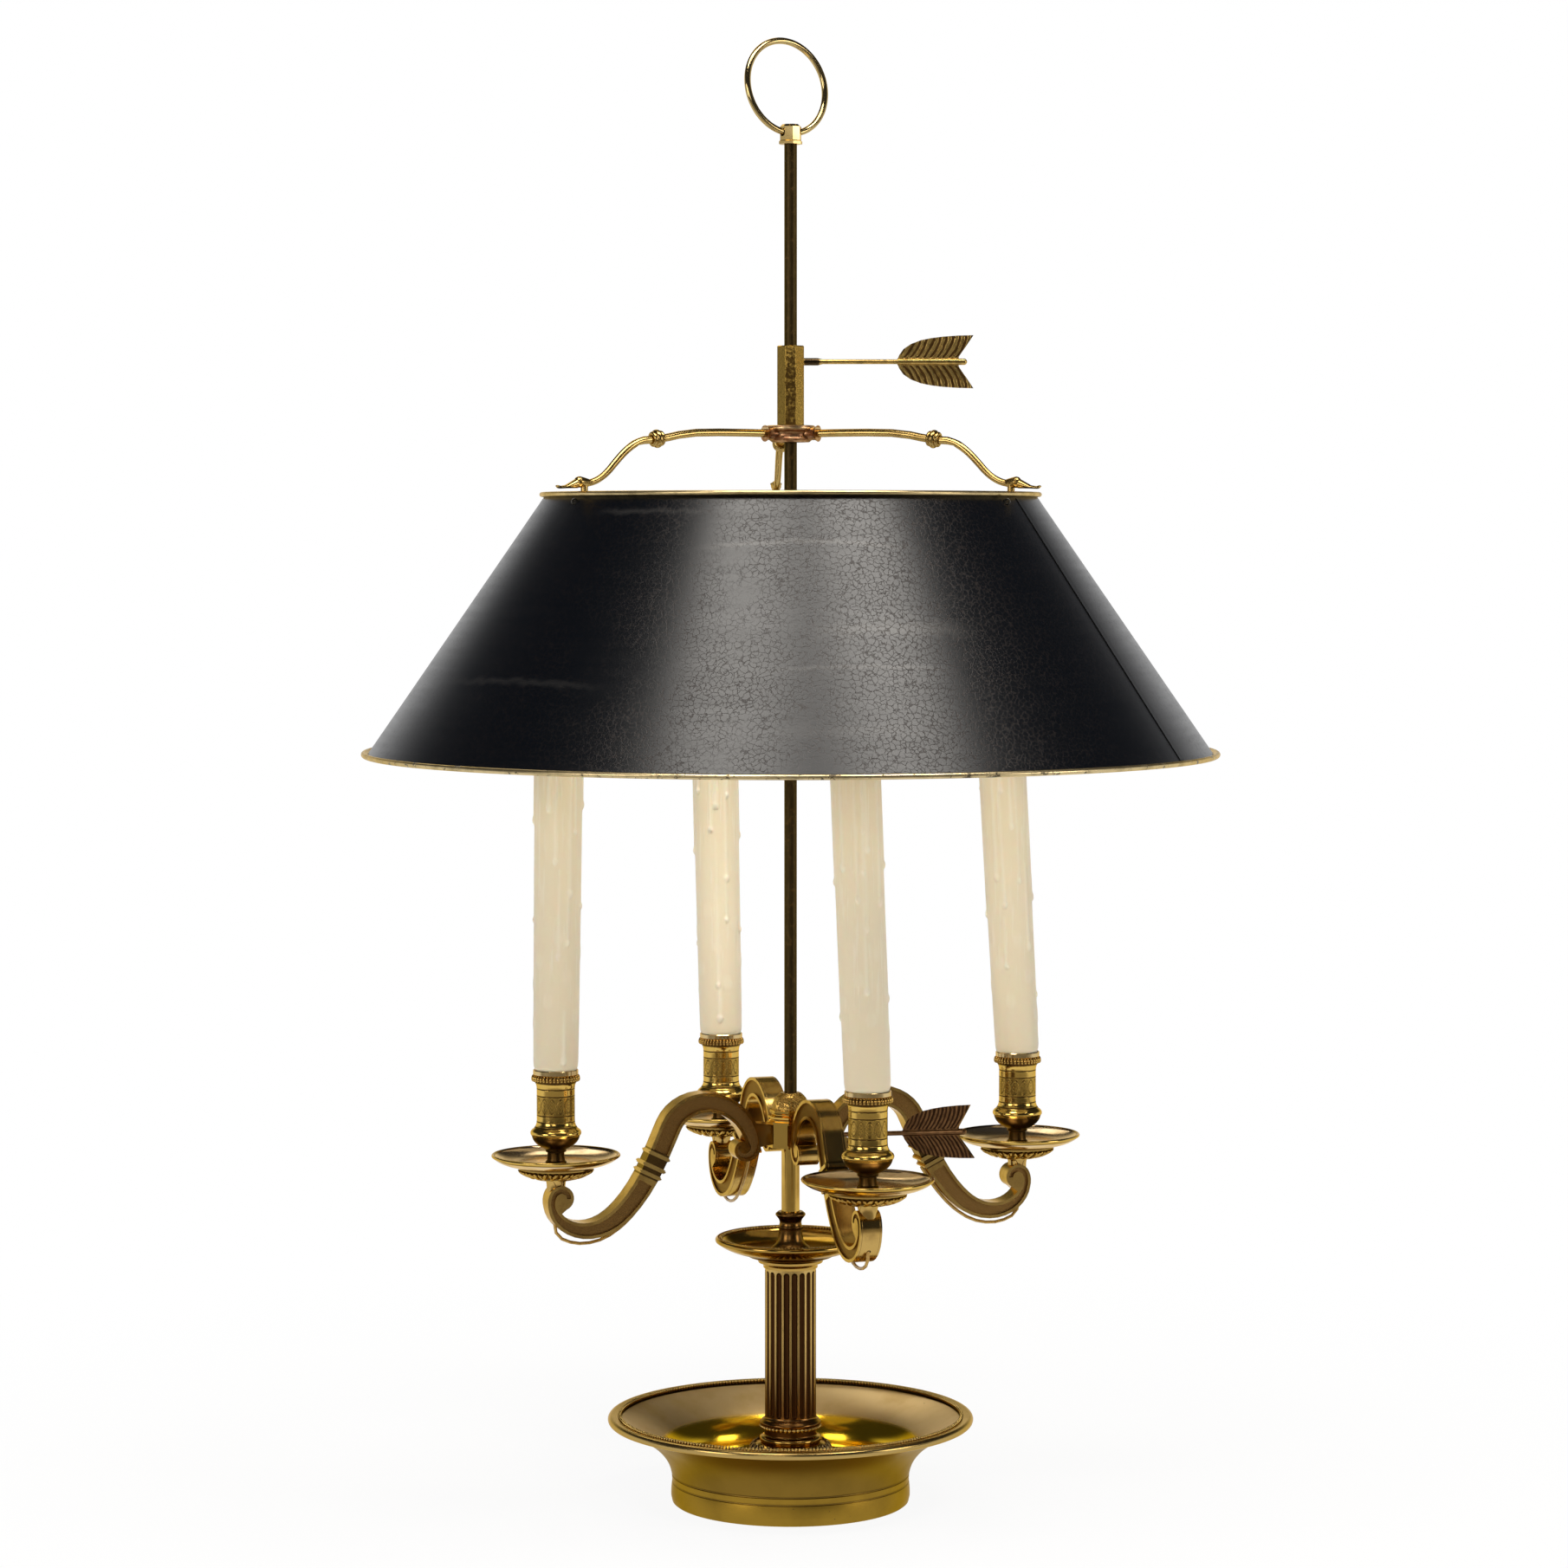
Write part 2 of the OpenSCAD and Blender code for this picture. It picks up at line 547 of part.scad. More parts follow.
module lower_arrow() {
    color([0.28, 0.2, 0.12]) on_arrow_line() arrow_screw(rod_r + 0.5, 75);
}
upper_z = 680.4;
module upper_arrow() {
    color([0.66, 0.52, 0.24]) translate([0, 0, upper_z]) arrow_screw(rod_r + 0.3, 63);
}

// -------------------------------------------------------------------- shade

sleeve_z = 643;
sleeve_top = 689.8;
hub_bottom = 633;
nut_top = hub_bottom + 3;
spigot_out = 6;
module shade_sleeve() {
    color([0.62, 0.5, 0.18]) difference() {
        union() {
            octagonal([[0, sleeve_z], [7.9, sleeve_z], [7.9, sleeve_top - 0.5], [7.4, sleeve_top],
                [0, sleeve_top]]);
            translate([0, 0, hub_bottom + 0.5]) cylinder(r = spigot_out, h = sleeve_z - hub_bottom + 0.5);
        }
        rod_bore(630, 700);
        translate([0, 0, upper_z]) rotate([0, 90, 0]) cylinder(r = screw_r + 0.05, h = 20, $fn = 32);
    }
}

// Nut on the sleeve's spigot. The hub of the shade turns on it.
module shade_nut() {
    color([0.5, 0.4, 0.2]) difference() {
        translate([0, 0, hub_bottom + 0.5]) cylinder(r = 8.4, h = nut_top - hub_bottom - 0.5, $fn = 6);
        translate([0, 0, hub_bottom]) cylinder(r = spigot_out + EPS, h = 4);
    }
}

swan_z = 638;
module spider_hub() {
    color([0.42, 0.2, 0.12]) difference() {
        union() {
            revolve(concat([[0, hub_bottom], [11, hub_bottom], [12.4, hub_bottom + 1]],
                bend([12.6, 635], [11, 636.5], [12, 639], 4), [[14.2, 640], [14.6, 641]],
                [[14.4, sleeve_z - 0.5], [13.6, sleeve_z - 0.1], [0, sleeve_z - 0.1]]));
            for (a = swan_dir) rotate([0, 0, a]) translate([8, 0, swan_z]) rotate([0, 90, 0]) {
                cylinder(r = 3.9, h = 8.5, $fn = 32);
                translate([0, 0, 8.5]) cylinder(r1 = 3.9, r2 = 4.9, h = 1.6, $fn = 32);
            }
        }
        rod_bore(630, 650, spigot_out + run);
        translate([0, 0, hub_bottom - 1]) cylinder(r = 8.8, h = nut_top - hub_bottom + 1);
        for (a = swan_dir) rotate([0, 0, a]) translate([10.5, 0, swan_z]) rotate([0, 90, 0])
            cylinder(r = 2.35, h = 12, $fn = 12);
    }
}

// Middle line of a swan neck: straight from the hub, then an S down to the ring
neck_line = concat([[10.5, swan_z], [30, 638.2], [50, 638.2], [66, 637.8]],
    bend([78, 636.4], [90, 633.6], [102, 633], 4), bend([106, 632], [113, 628.8], [120.5, 620.8], 6),
    bend([123, 618.2], [130.5, 609.6], [139, 608.2], 8), [[143, 608.2]]);
neck_tube = [for (p = neck_line) p.x > 106 && p.x < 130 ? 2.3 - 0.3 * (p.x - 106) / 24 : p.x < 106 ? 2.3 : 2];
head = [145.2, 608.7];
bill = [head.x + 8.6, head.y - 2.7];
foot_at = 142;
stud_r = 1;
module swan_arm(i) {
    color([0.6, 0.47, 0.22]) rotate([0, 0, swan_dir[i]]) union() {
        swept(neck_line, neck_tube, 12);
        translate([93, 0, 634]) rotate([0, 97, 0]) {
            for (z = [-2.6, 0, 2.6]) translate([0, 0, z])
                rotate_extrude($fn = 32) translate([3.3, 0]) circle(r = z == 0 ? 2.1 : 1.2, $fn = 16);
            translate([0, 0, -3]) cylinder(r = 3.4, h = 6, $fn = 32);
        }
        hull() {
            translate([head.x, 0, head.y]) sphere(r = 3.3, $fn = 24);
            translate([head.x - 5, 0, head.y - 0.4]) sphere(r = 2.4, $fn = 24);
        }
        hull() {
            translate([head.x + 2, 0, head.y - 0.9]) sphere(r = 2.7, $fn = 24);
            translate([bill.x, 0, bill.y]) scale([1.8, 2.1, 1]) sphere(r = 1, $fn = 16);
        }
        hull() {
            translate([bill.x, 0, bill.y]) scale([1.8, 2.1, 1]) sphere(r = 1, $fn = 16);
            translate([bill.x + 4.4, 0, bill.y - 0.4]) scale([1.8, 2.5, 0.8]) sphere(r = 1, $fn = 16);
        }
        hull() {
            translate([bill.x + 4.4, 0, bill.y - 0.4]) scale([1.8, 2.5, 0.8]) sphere(r = 1, $fn = 16);
            translate([bill.x + 6, 0, bill.y + 0.3]) scale([1, 1.8, 0.6]) sphere(r = 1, $fn = 16);
        }
        for (f = [-1, 1]) translate([head.x + 0.4, f * 2.7, head.y + 1.1]) sphere(r = 0.9, $fn = 16);
        translate([foot_at, 0, ring_top]) cylinder(r = 2.1, h = 4, $fn = 24);
        translate([foot_at, 0, shade_top_z - 1.6]) cylinder(r = stud_r, h = 6, $fn = 24);
    }
}

slope = atan2(shade_bottom_r - shade_top_r, shade_top_z - shade_bottom_z);
ring_top = shade_top_z + 2.9;
pin_r = 0.6;
pin_z = shade_top_z - 3;
pin_dir = [-34.5, 93.5, 214.5];
// Sets children on the sheet's outer face just under its band, with +Z out of the face
module pin_place(a) {
    rotate([0, 0, a]) translate([shade_top_r + (shade_top_z - pin_z) * tan(slope), 0, pin_z])
        rotate([0, 90 - slope, 0]) children();
}
module shade_shell() {
    color([0.05, 0.055, 0.075]) difference() {
        revolve([[shade_top_r - tole_t, shade_top_z], [shade_top_r, shade_top_z],
                 [shade_bottom_r, shade_bottom_z], [shade_bottom_r - tole_t, shade_bottom_z]]);
        for (a = pin_dir) pin_place(a) translate([0, 0, -3]) cylinder(r = pin_r + EPS, h = 6, $fn = 16);
    }
}

// Brass band on the sheet's top edge, overhanging the sheet
module shade_top_ring() {
    color([0.66, 0.52, 0.25]) difference() {
        revolve(concat(
            [[band_r - 9, shade_top_z], [band_r - 1.6, shade_top_z]],
            arc([band_r - 1.45, shade_top_z + 1.45], 1.45, -60, 60, 6),
            [[band_r - 1.6, ring_top], [band_r - 9, ring_top]]));
        for (a = swan_dir) rotate([0, 0, a]) translate([foot_at, 0, shade_top_z - 1])
            cylinder(r = stud_r + EPS, h = 5, $fn = 24);
    }
}

// Rolled rim at the bottom edge
roll_r = 1.6;
module shade_bottom_rim() {
    c = [shade_bottom_r + 2.5, shade_bottom_z - 0.2];
    color([0.7, 0.6, 0.35]) revolve(concat(
        [[shade_bottom_r - tole_t, shade_bottom_z], [shade_bottom_r, shade_bottom_z]],
        arc(c, roll_r, 120, -150, 14),
        [[shade_bottom_r - tole_t, shade_bottom_z - 0.9]]));
}

// A nut under the ring holds each swan's foot. A pin with a curled end goes
// through the sheet just below.
module shade_pins() {
    color([0.3, 0.3, 0.32]) {
        for (a = swan_dir) rotate([0, 0, a]) translate([foot_at, 0, shade_top_z - 1.4]) difference() {
            cylinder(r = 1.55, h = 1.4, $fn = 6);
            translate([0, 0, -1]) cylinder(r = stud_r + EPS, h = 4, $fn = 24);
        }
        for (a = pin_dir) pin_place(a) {
            translate([0, 0, -tole_t * cos(slope) - 0.8]) cylinder(r = 1.4, h = 0.8, $fn = 24);
            translate([0, 0, -tole_t * cos(slope) - 0.4]) cylinder(r = pin_r, h = 3.4, $fn = 16);
            translate([1.5, 0, 2]) rotate([90, 0, 0]) rotate([0, 0, -60])
                rotate_extrude(angle = 240, $fn = 32) translate([1.5, 0]) circle(r = 0.5, $fn = 12);
        }
    }
}

felt_pad();
base_dish();
base_ballast();
base_locknut();
column_foot();
column();
capital();
tazza();
stem_collar();
stem_rod();
finial_block();
ring_handle();
arm_tube();
arm_hub();
hub_cap();
for (i = ARMS) {
    arm(i);
    drip_pan(i);
    candle_cup(i);
    candle_cover(i);
    lamp_socket(i);
    bulb(i);
    arm_wire(i);
}
cup_nipples();
lower_arrow();
upper_arrow();
shade_sleeve();
shade_nut();
spider_hub();
for (i = SWANS) swan_arm(i);
shade_shell();
shade_top_ring();
shade_bottom_rim();
shade_pins();
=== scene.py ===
import math

import bpy
from bpy.props import FloatProperty, FloatVectorProperty, IntProperty, PointerProperty
from mathutils import Matrix, Vector


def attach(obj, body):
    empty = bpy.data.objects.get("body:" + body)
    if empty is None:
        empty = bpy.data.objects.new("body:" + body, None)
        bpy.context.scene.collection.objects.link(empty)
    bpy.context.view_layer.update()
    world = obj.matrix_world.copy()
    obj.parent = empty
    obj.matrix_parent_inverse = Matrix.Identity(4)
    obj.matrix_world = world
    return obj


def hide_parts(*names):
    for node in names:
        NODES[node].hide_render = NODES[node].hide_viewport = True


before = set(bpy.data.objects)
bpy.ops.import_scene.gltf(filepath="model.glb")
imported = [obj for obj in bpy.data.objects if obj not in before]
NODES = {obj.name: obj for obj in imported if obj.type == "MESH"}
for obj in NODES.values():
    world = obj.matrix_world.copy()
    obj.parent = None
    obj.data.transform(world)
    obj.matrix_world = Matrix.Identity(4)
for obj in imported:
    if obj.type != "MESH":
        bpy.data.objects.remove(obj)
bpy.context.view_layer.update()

bl_info = {
    "name": "Bouillotte lamp",
    "version": (1, 0, 0),
    "blender": (4, 5, 0),
    "location": "3D View > Sidebar > Lamp",
    "description": "Finishes and fine ornament for a brass candle lamp with a tole shade",
    "category": "Add Mesh",
}

# Sizes are in mm and angles in degrees, unless a comment says otherwise.
MM = 0.001

# Candles: distance from the rod, direction of the first one, and the level that they stand on
CANDLE_R = 144.5
ARM_TURN = 17.5
COVER_Z = 262.5
# Wax: its radius near the foot, how much it gains with height, and each candle's lean
WAX_R = 13.3
WAX_TAPER = 0.0046
LEAN = (-3.2, -1.2, 0.75, -2.3)

# Shade: radius and height of the sheet's edges, and direction of its seam
SHADE_TOP = (145.8, 600.6)
SHADE_BOTTOM = (250.0, 449.5)
SEAM_TURN = -27.0
# Rubbed arcs on the shade's front, painted lighter as streaks of sheen: center, height, bend,
# reach, width and strength
RUBBED_SHEEN_ARCS = (
    (8, 575, 0.0011, 70, 2.2, 0.75),
    (55, 528, 0.0018, 52, 7, 0.55),
    (38, 507, 0.0008, 58, 1.6, 0.6),
    (-75, 592, 0.0005, 40, 2.5, 0.3),
    (-150, 497, 0.0012, 55, 3, 0.18),
    (30, 473, 0.0006, 60, 5, 0.2),
)

# What brass shows at a grazing angle, and a brown for patina in engraved lines and for painted
# shade on the candle cups
GOLD_EDGE = (0.9, 0.72, 0.42, 1)
PATINA_AND_SHADE_BROWN = (0.05, 0.022, 0.007)

# Lower ends of the wax runs on each candle: direction and height
DRIPS = (
    ((-100, 425), (-78, 403), (-122, 373), (-64, 370), (-105, 356), (-44, 330), (-108, 319)),
    ((-141, 419), (-90, 410), (-60, 416), (-105, 395), (-65, 364), (-67, 338), (-93, 297),
     (-91, 276)),
    ((-110, 420), (-42, 406), (-93, 389), (-56, 370), (-60, 341), (-83, 333), (-67, 272)),
    ((-78, 413), (-70, 403), (-131, 393), (-80, 390), (-96, 375), (-38, 373), (-77, 358),
     (-83, 323)),
)

# Outline of a candle cover's wax as (radius, height)
WAX_PROFILE = (
    (10.9, 262.5), (12.2, 262.5), (12.3, 265.5), (12.9, 266.9), (13.2, 270), (13.4, 290),
    (13.9, 380), (14.1, 461), (13.8, 464.8), (13.2, 465.5), (10.9, 465.5))
# Height at which wax starts to run, just under the cover's rim
WAX_TOP = 463

# Studio lamps: name, place and aim in metres, size in metres, and power in watts
LAMPS = (
    ("overhead_left", (-0.5, -1.0, 2.8), (0, -0.15, 0.5), 1.12, 45),
    ("overhead_right", (0.82, -0.8, 2.8), (0, -0.15, 0.5), 1.05, 46),
    ("key", (-2.5, -2.3, 0.95), (0, 0, 0.32), 1.3, 27),
    ("side", (3.1, -1.2, 0.9), (0, 0, 0.32), 1.2, 24),
    ("front", (-0.7, -3.7, 1.1), (0, 0, 0.3), 1.2, 10),
    ("back", (-0.6, 2.4, 2.4), (0, 0, 0.5), 1.4, 12),
)
LAMP_COLOR = (1.0, 0.955, 0.89)
# Camera: place in metres, how far it looks down, and its lens
CAMERA_PLACE = (-0.0039, -2.517, 0.582)
CAMERA_DIP = 3.445
CAMERA_LENS = 97.4


# ------------------------------------------------------------------ modelling

def deselect():
    """Leaves edit mode, and selects nothing."""
    if bpy.context.object and bpy.context.object.mode != "OBJECT":
        bpy.ops.object.mode_set(mode="OBJECT")
    bpy.ops.object.select_all(action="DESELECT")


def only(obj):
    """Makes obj the one selected, active object."""
    deselect()
    obj.select_set(True)
    bpy.context.view_layer.objects.active = obj


def name_piece(name):
    """Names the object that an operator has just added, and its mesh."""
    obj = bpy.context.object
    obj.name = obj.data.name = name
    return obj


def rotation(degrees, axis):
    """The matrix of a turn about X, Y or Z."""
    return Matrix.Rotation(math.radians(degrees), 4, axis)


def settle(obj):
    """Puts a finished piece's place into its mesh."""
    only(obj)
    bpy.ops.object.transform_apply(location=True, rotation=True, scale=True)
    return obj


def turned_wall(name, profile, segments):
    """A closed wall round the rod: a circle that is extruded and resized along (radius, height),
    and bridged from its last ring to its first."""
    deselect()
    r, z = profile[0]
    bpy.ops.mesh.primitive_circle_add(vertices=segments, radius=r * MM, fill_type="NOTHING",
                                      location=(0, 0, z * MM))
    obj = name_piece(name)
    bpy.ops.object.mode_set(mode="EDIT")
    bpy.ops.mesh.select_all(action="SELECT")
    for r1, z1 in profile[1:]:
        bpy.ops.mesh.extrude_region_move(TRANSFORM_OT_translate={"value": (0, 0, (z1 - z) * MM)})
        bpy.ops.transform.resize(value=(r1 / r, r1 / r, 1), center_override=(0, 0, 0))
        r, z = r1, z1
    bpy.ops.mesh.select_all(action="DESELECT")
    bpy.ops.mesh.select_mode(type="EDGE")
    bpy.ops.mesh.select_non_manifold()
    bpy.ops.mesh.bridge_edge_loops()
    bpy.ops.mesh.select_all(action="SELECT")
    bpy.ops.mesh.normals_make_consistent(inside=False)
    bpy.ops.object.mode_set(mode="OBJECT")
    return settle(obj)


def ring_of(obj, count):
    """Copies what obj holds round the rod, count times in all."""
    only(obj)
    bpy.ops.object.mode_set(mode="EDIT")
    bpy.ops.mesh.select_all(action="SELECT")
    bpy.ops.mesh.spin(steps=count - 1, dupli=True, angle=2 * math.pi * (count - 1) / count,
                      center=(0, 0, 0), axis=(0, 0, 1))
    bpy.ops.object.mode_set(mode="OBJECT")
    only(obj)
    bpy.ops.object.shade_smooth()
    return obj


def joined(pieces):
    """Joins pieces into the first of them."""
    deselect()
    for piece in pieces:
        piece.select_set(True)
    bpy.context.view_layer.objects.active = pieces[0]
    bpy.ops.object.join()
    return pieces[0]


def bead_row(name, ring_r, z, count, size, stretch, lean, detail):
    """A ring of beads round the rod. size is a bead's radius, stretch makes it longer upwards, lean
    tips it outwards, and detail counts its segments and rings."""
    deselect()
    bpy.ops.mesh.primitive_uv_sphere_add(segments=detail[0], ring_count=detail[1], radius=size * MM,
                                         location=(ring_r * MM, 0, z * MM))
    obj = name_piece(name)
    obj.scale = (1, 1, stretch)
    obj.rotation_euler = (0, math.radians(lean), 0)
    return ring_of(settle(obj), count)


def leaf_row(name, ring_r, z, count, size, tilt, twist):
    """A ring of leaves round the rod. A leaf is a long lobe with a shorter one beside it, tilted to
    the moulding and twisted on it."""
    lobes = []
    for length, shift, turn in ((1.0, 0.0, twist), (0.62, 0.55, twist - 42)):
        deselect()
        bpy.ops.mesh.primitive_uv_sphere_add(segments=10, ring_count=6, radius=MM)
        lobe = name_piece(name)
        beside = (size[0] * shift * 0.6 * MM, -size[1] * shift * MM, 0)
        lobe.matrix_world = (Matrix.Translation((ring_r * MM, 0, z * MM)) @ rotation(-tilt, "Y")
                             @ rotation(turn, "Z") @ Matrix.Translation(beside)
                             @ Matrix.Diagonal((size[0] * length, size[1] * length, size[2], 1)))
        lobes.append(settle(lobe))
    joined(lobes)
    return ring_of(name_piece(name), count)


def wax_run(angle, low, high, wide, proud, drop):
    """One run of wax down a candle on the rod's axis, and its lower end, which swells in a drop."""
    wall = WAX_R + (low - 290) * WAX_TAPER
    turn = rotation(angle, "Z")
    deselect()
    bpy.ops.mesh.primitive_cone_add(vertices=12, radius1=MM, radius2=0.7 * MM,
                                    depth=(high - low) * MM)
    run = name_piece("run")
    run.matrix_world = (turn @ Matrix.Translation((wall * MM, 0, (high + low) / 2 * MM))
                        @ Matrix.Rotation(WAX_TAPER, 4, "Y") @ Matrix.Diagonal((proud, wide, 1, 1)))
    deselect()
    bpy.ops.mesh.primitive_uv_sphere_add(segments=12, ring_count=8, radius=MM)
    end = name_piece("drop")
    out, swell = (1.6, 1.25) if drop else (1.0, 1.0)
    end.matrix_world = (turn @ Matrix.Translation((wall * MM, 0, low * MM))
                        @ Matrix.Diagonal((proud * out, wide * swell, wide * 1.9, 1)))
    return [run, end]


def candle_turn(i):
    """The direction of candle i from the rod."""
    return ARM_TURN + 90 * i


def candle_spot(i):
    """Where candle i stands, as (x, y)."""
    a = math.radians(candle_turn(i))
    return CANDLE_R * math.cos(a), CANDLE_R * math.sin(a)


def copy_to_candles(first, finish):
    """Copies a row from the rod to each of the four candles, each copy with its own mesh."""
    for i in range(4):
        only(first)
        bpy.ops.object.duplicate(linked=False)
        copy = name_piece(f"{first.name}_{i + 1}")
        copy.matrix_world = (rotation(candle_turn(i), "Z")
                             @ Matrix.Translation(Vector((CANDLE_R, 0, 0)) * MM))
        dress(settle(copy), finish, "arm_cluster")
    bpy.data.objects.remove(first)


def dress(obj, finish, body):
    """Gives a piece its finish, and lets it ride on its body."""
    obj.data.materials.clear()
    obj.data.materials.append(finish)
    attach(obj, body)


# ------------------------------------------------------------------- finishes

class Value:
    """What a node gives. Arithmetic on values adds Math nodes."""

    def __init__(self, finish, socket):
        self.finish, self.socket = finish, socket

    def math(self, operation, *others):
        return self.finish.node("ShaderNodeMath", {"operation": operation},
                                dict(enumerate((self, *others))))

    def __add__(self, other):
        return self.math("ADD", other)

    __radd__ = __add__

    def __sub__(self, other):
        return self.math("SUBTRACT", other)

    def __rsub__(self, other):
        return self.finish.node("ShaderNodeMath", {"operation": "SUBTRACT"}, {0: other, 1: self})

    def __mul__(self, other):
        return self.math("MULTIPLY", other)

    __rmul__ = __mul__

    def __pow__(self, other):
        return self.math("POWER", other)

    def __abs__(self):
        return self.math("ABSOLUTE")

    def sine(self):
        return self.math("SINE")

    def at_least(self, other):
        return self.math("MAXIMUM", other)

    def at_most(self, other):
        return self.math("MINIMUM", other)

    def step(self, low, high):
        """0 below low, 1 above high, and smooth between them."""
        return self.finish.node("ShaderNodeMapRange", {"interpolation_type": "SMOOTHSTEP"},
                                {"Value": self, "From Min": low, "From Max": high})

    def band(self, low, high, edge):
        """1 between low and high."""
        return self.step(low - edge, low + edge) * (1 - self.step(high - edge, high + edge))


class Graph:
    """The nodes of a material or of the world."""

    def __init__(self, owner):
        owner.use_nodes = True
        self.tree = owner.node_tree
        self.tree.nodes.clear()

    def node(self, kind, settings=None, sockets=None, output=0):
        """Adds a node: its settings first, then the values or links of its sockets. It gives one of
        the node's outputs, or the node itself where output is None."""
        node = self.tree.nodes.new(kind)
        for key, value in (settings or {}).items():
            setattr(node, key, value)
        for key, value in (sockets or {}).items():
            if isinstance(value, Value):
                self.tree.links.new(value.socket, node.inputs[key])
            elif value is not None:
                node.inputs[key].default_value = value
        return node if output is None else Value(self, node.outputs[output])

    def rays(self, kind):
        """1 for rays of a kind: Camera, Glossy or Transmission."""
        return self.node("ShaderNodeLightPath", output=f"Is {kind} Ray")

    def place(self, turn=0.0, shift=(0, 0, 0), scale=(1, 1, 1), lean=0.0):
        """Object coordinates in mm: shifted, then scaled, leant to one side and turned."""
        here = self.node("ShaderNodeTexCoord", output="Object")
        here = self.node("ShaderNodeMapping", {"vector_type": "POINT"},
                         {"Vector": here, "Location": shift, "Scale": (1000, 1000, 1000)})
        angles = (0, math.radians(lean), math.radians(turn))
        return self.node("ShaderNodeMapping", {"vector_type": "POINT"},
                         {"Vector": here, "Rotation": angles, "Scale": scale})

    def parts(self, vector):
        """The x, y and z of a vector."""
        return [self.node("ShaderNodeSeparateXYZ", None, {0: vector}, output=k) for k in range(3)]

    def noise(self, vector, scale, detail=3.0, roughness=0.5, output=0):
        """Soft clouds. scale is about one over a cloud's size in mm."""
        return self.node("ShaderNodeTexNoise", None, {"Vector": vector, "Scale": scale,
                                                      "Detail": detail, "Roughness": roughness},
                         output=output)

    def cells(self, vector, scale, feature="F1"):
        """Distance to the nearest of scattered points, or to the edge between their cells."""
        return self.node("ShaderNodeTexVoronoi", {"feature": feature},
                         {"Vector": vector, "Scale": scale})

    def mix(self, factor, first, second):
        """A colour between two colours."""
        first, second = [(*c, 1) if isinstance(c, tuple) else c for c in (first, second)]
        return self.node("ShaderNodeMix", {"data_type": "RGBA"},
                         {0: factor, 6: first, 7: second}, output=2)

    def between(self, factor, low, high):
        """A number between two numbers."""
        return low + factor * (high - low)


class Finish(Graph):
    """A material with one Principled shader. The constants are set on its own sockets."""

    def __init__(self, name, color=(0.8, 0.8, 0.8), **constants):
        self.material = bpy.data.materials.new(name)
        super().__init__(self.material)
        self.shader = self.tree.nodes.new("ShaderNodeBsdfPrincipled")
        self.surface = Value(self, self.shader.outputs[0])
        self.output = self.node("ShaderNodeOutputMaterial", None, {"Surface": self.surface},
                                output=None)
        self.shader.inputs["Base Color"].default_value = (*color, 1)
        for socket, value in constants.items():
            self.input(socket).default_value = value

    def input(self, socket):
        """A socket of the shader, by its name in small letters."""
        return self.shader.inputs[socket.replace("_", " ").title().replace("Ior", "IOR")]

    def set(self, **links):
        """Links what changes over the surface."""
        for socket, value in links.items():
            self.tree.links.new(value.socket, self.input(socket))

    def bump(self, height, strength, distance, onto=None):
        """Bumps from a height that runs from 0 to 1, onto those that are there."""
        return self.node("ShaderNodeBump", None, {"Height": height, "Strength": strength,
                                                  "Distance": distance * MM, "Normal": onto})


def radius(x, y):
    """Distance from an upright axis."""
    return (x * x + y * y) ** 0.5


def darker(color, share):
    """A colour times share."""
    return tuple(share * c for c in color)


def metal(name, color=(0.8, 0.8, 0.8)):
    """A bare metal that turns gold at a grazing angle."""
    return Finish(name, color, metallic=1.0, specular_tint=GOLD_EDGE)


def brass(name, bright, deep, rough=0.12, seed=0.0):
    """Polished brass: clouds of thin tarnish and small dark spots. seed moves the pattern."""
    f = metal(name, bright)
    v = f.place(shift=(seed, seed, seed))
    clouds = f.noise(v, 0.045, 2, 0.5).step(0.42, 0.7)
    dots = 1 - f.cells(v, 0.28).step(0.05, 0.1)
    dots = dots * f.noise(v, 0.05).step(0.5, 0.62) * 0.15
    color = f.mix(clouds * 0.75, bright, deep)
    color = f.mix(dots, color, (0.1, 0.06, 0.02))
    f.set(base_color=color, roughness=rough + clouds * 0.1 + dots * 0.3)
    f.set(normal=f.bump(f.noise(v, 0.08, 2), 0.08, 0.3))
    return f.material


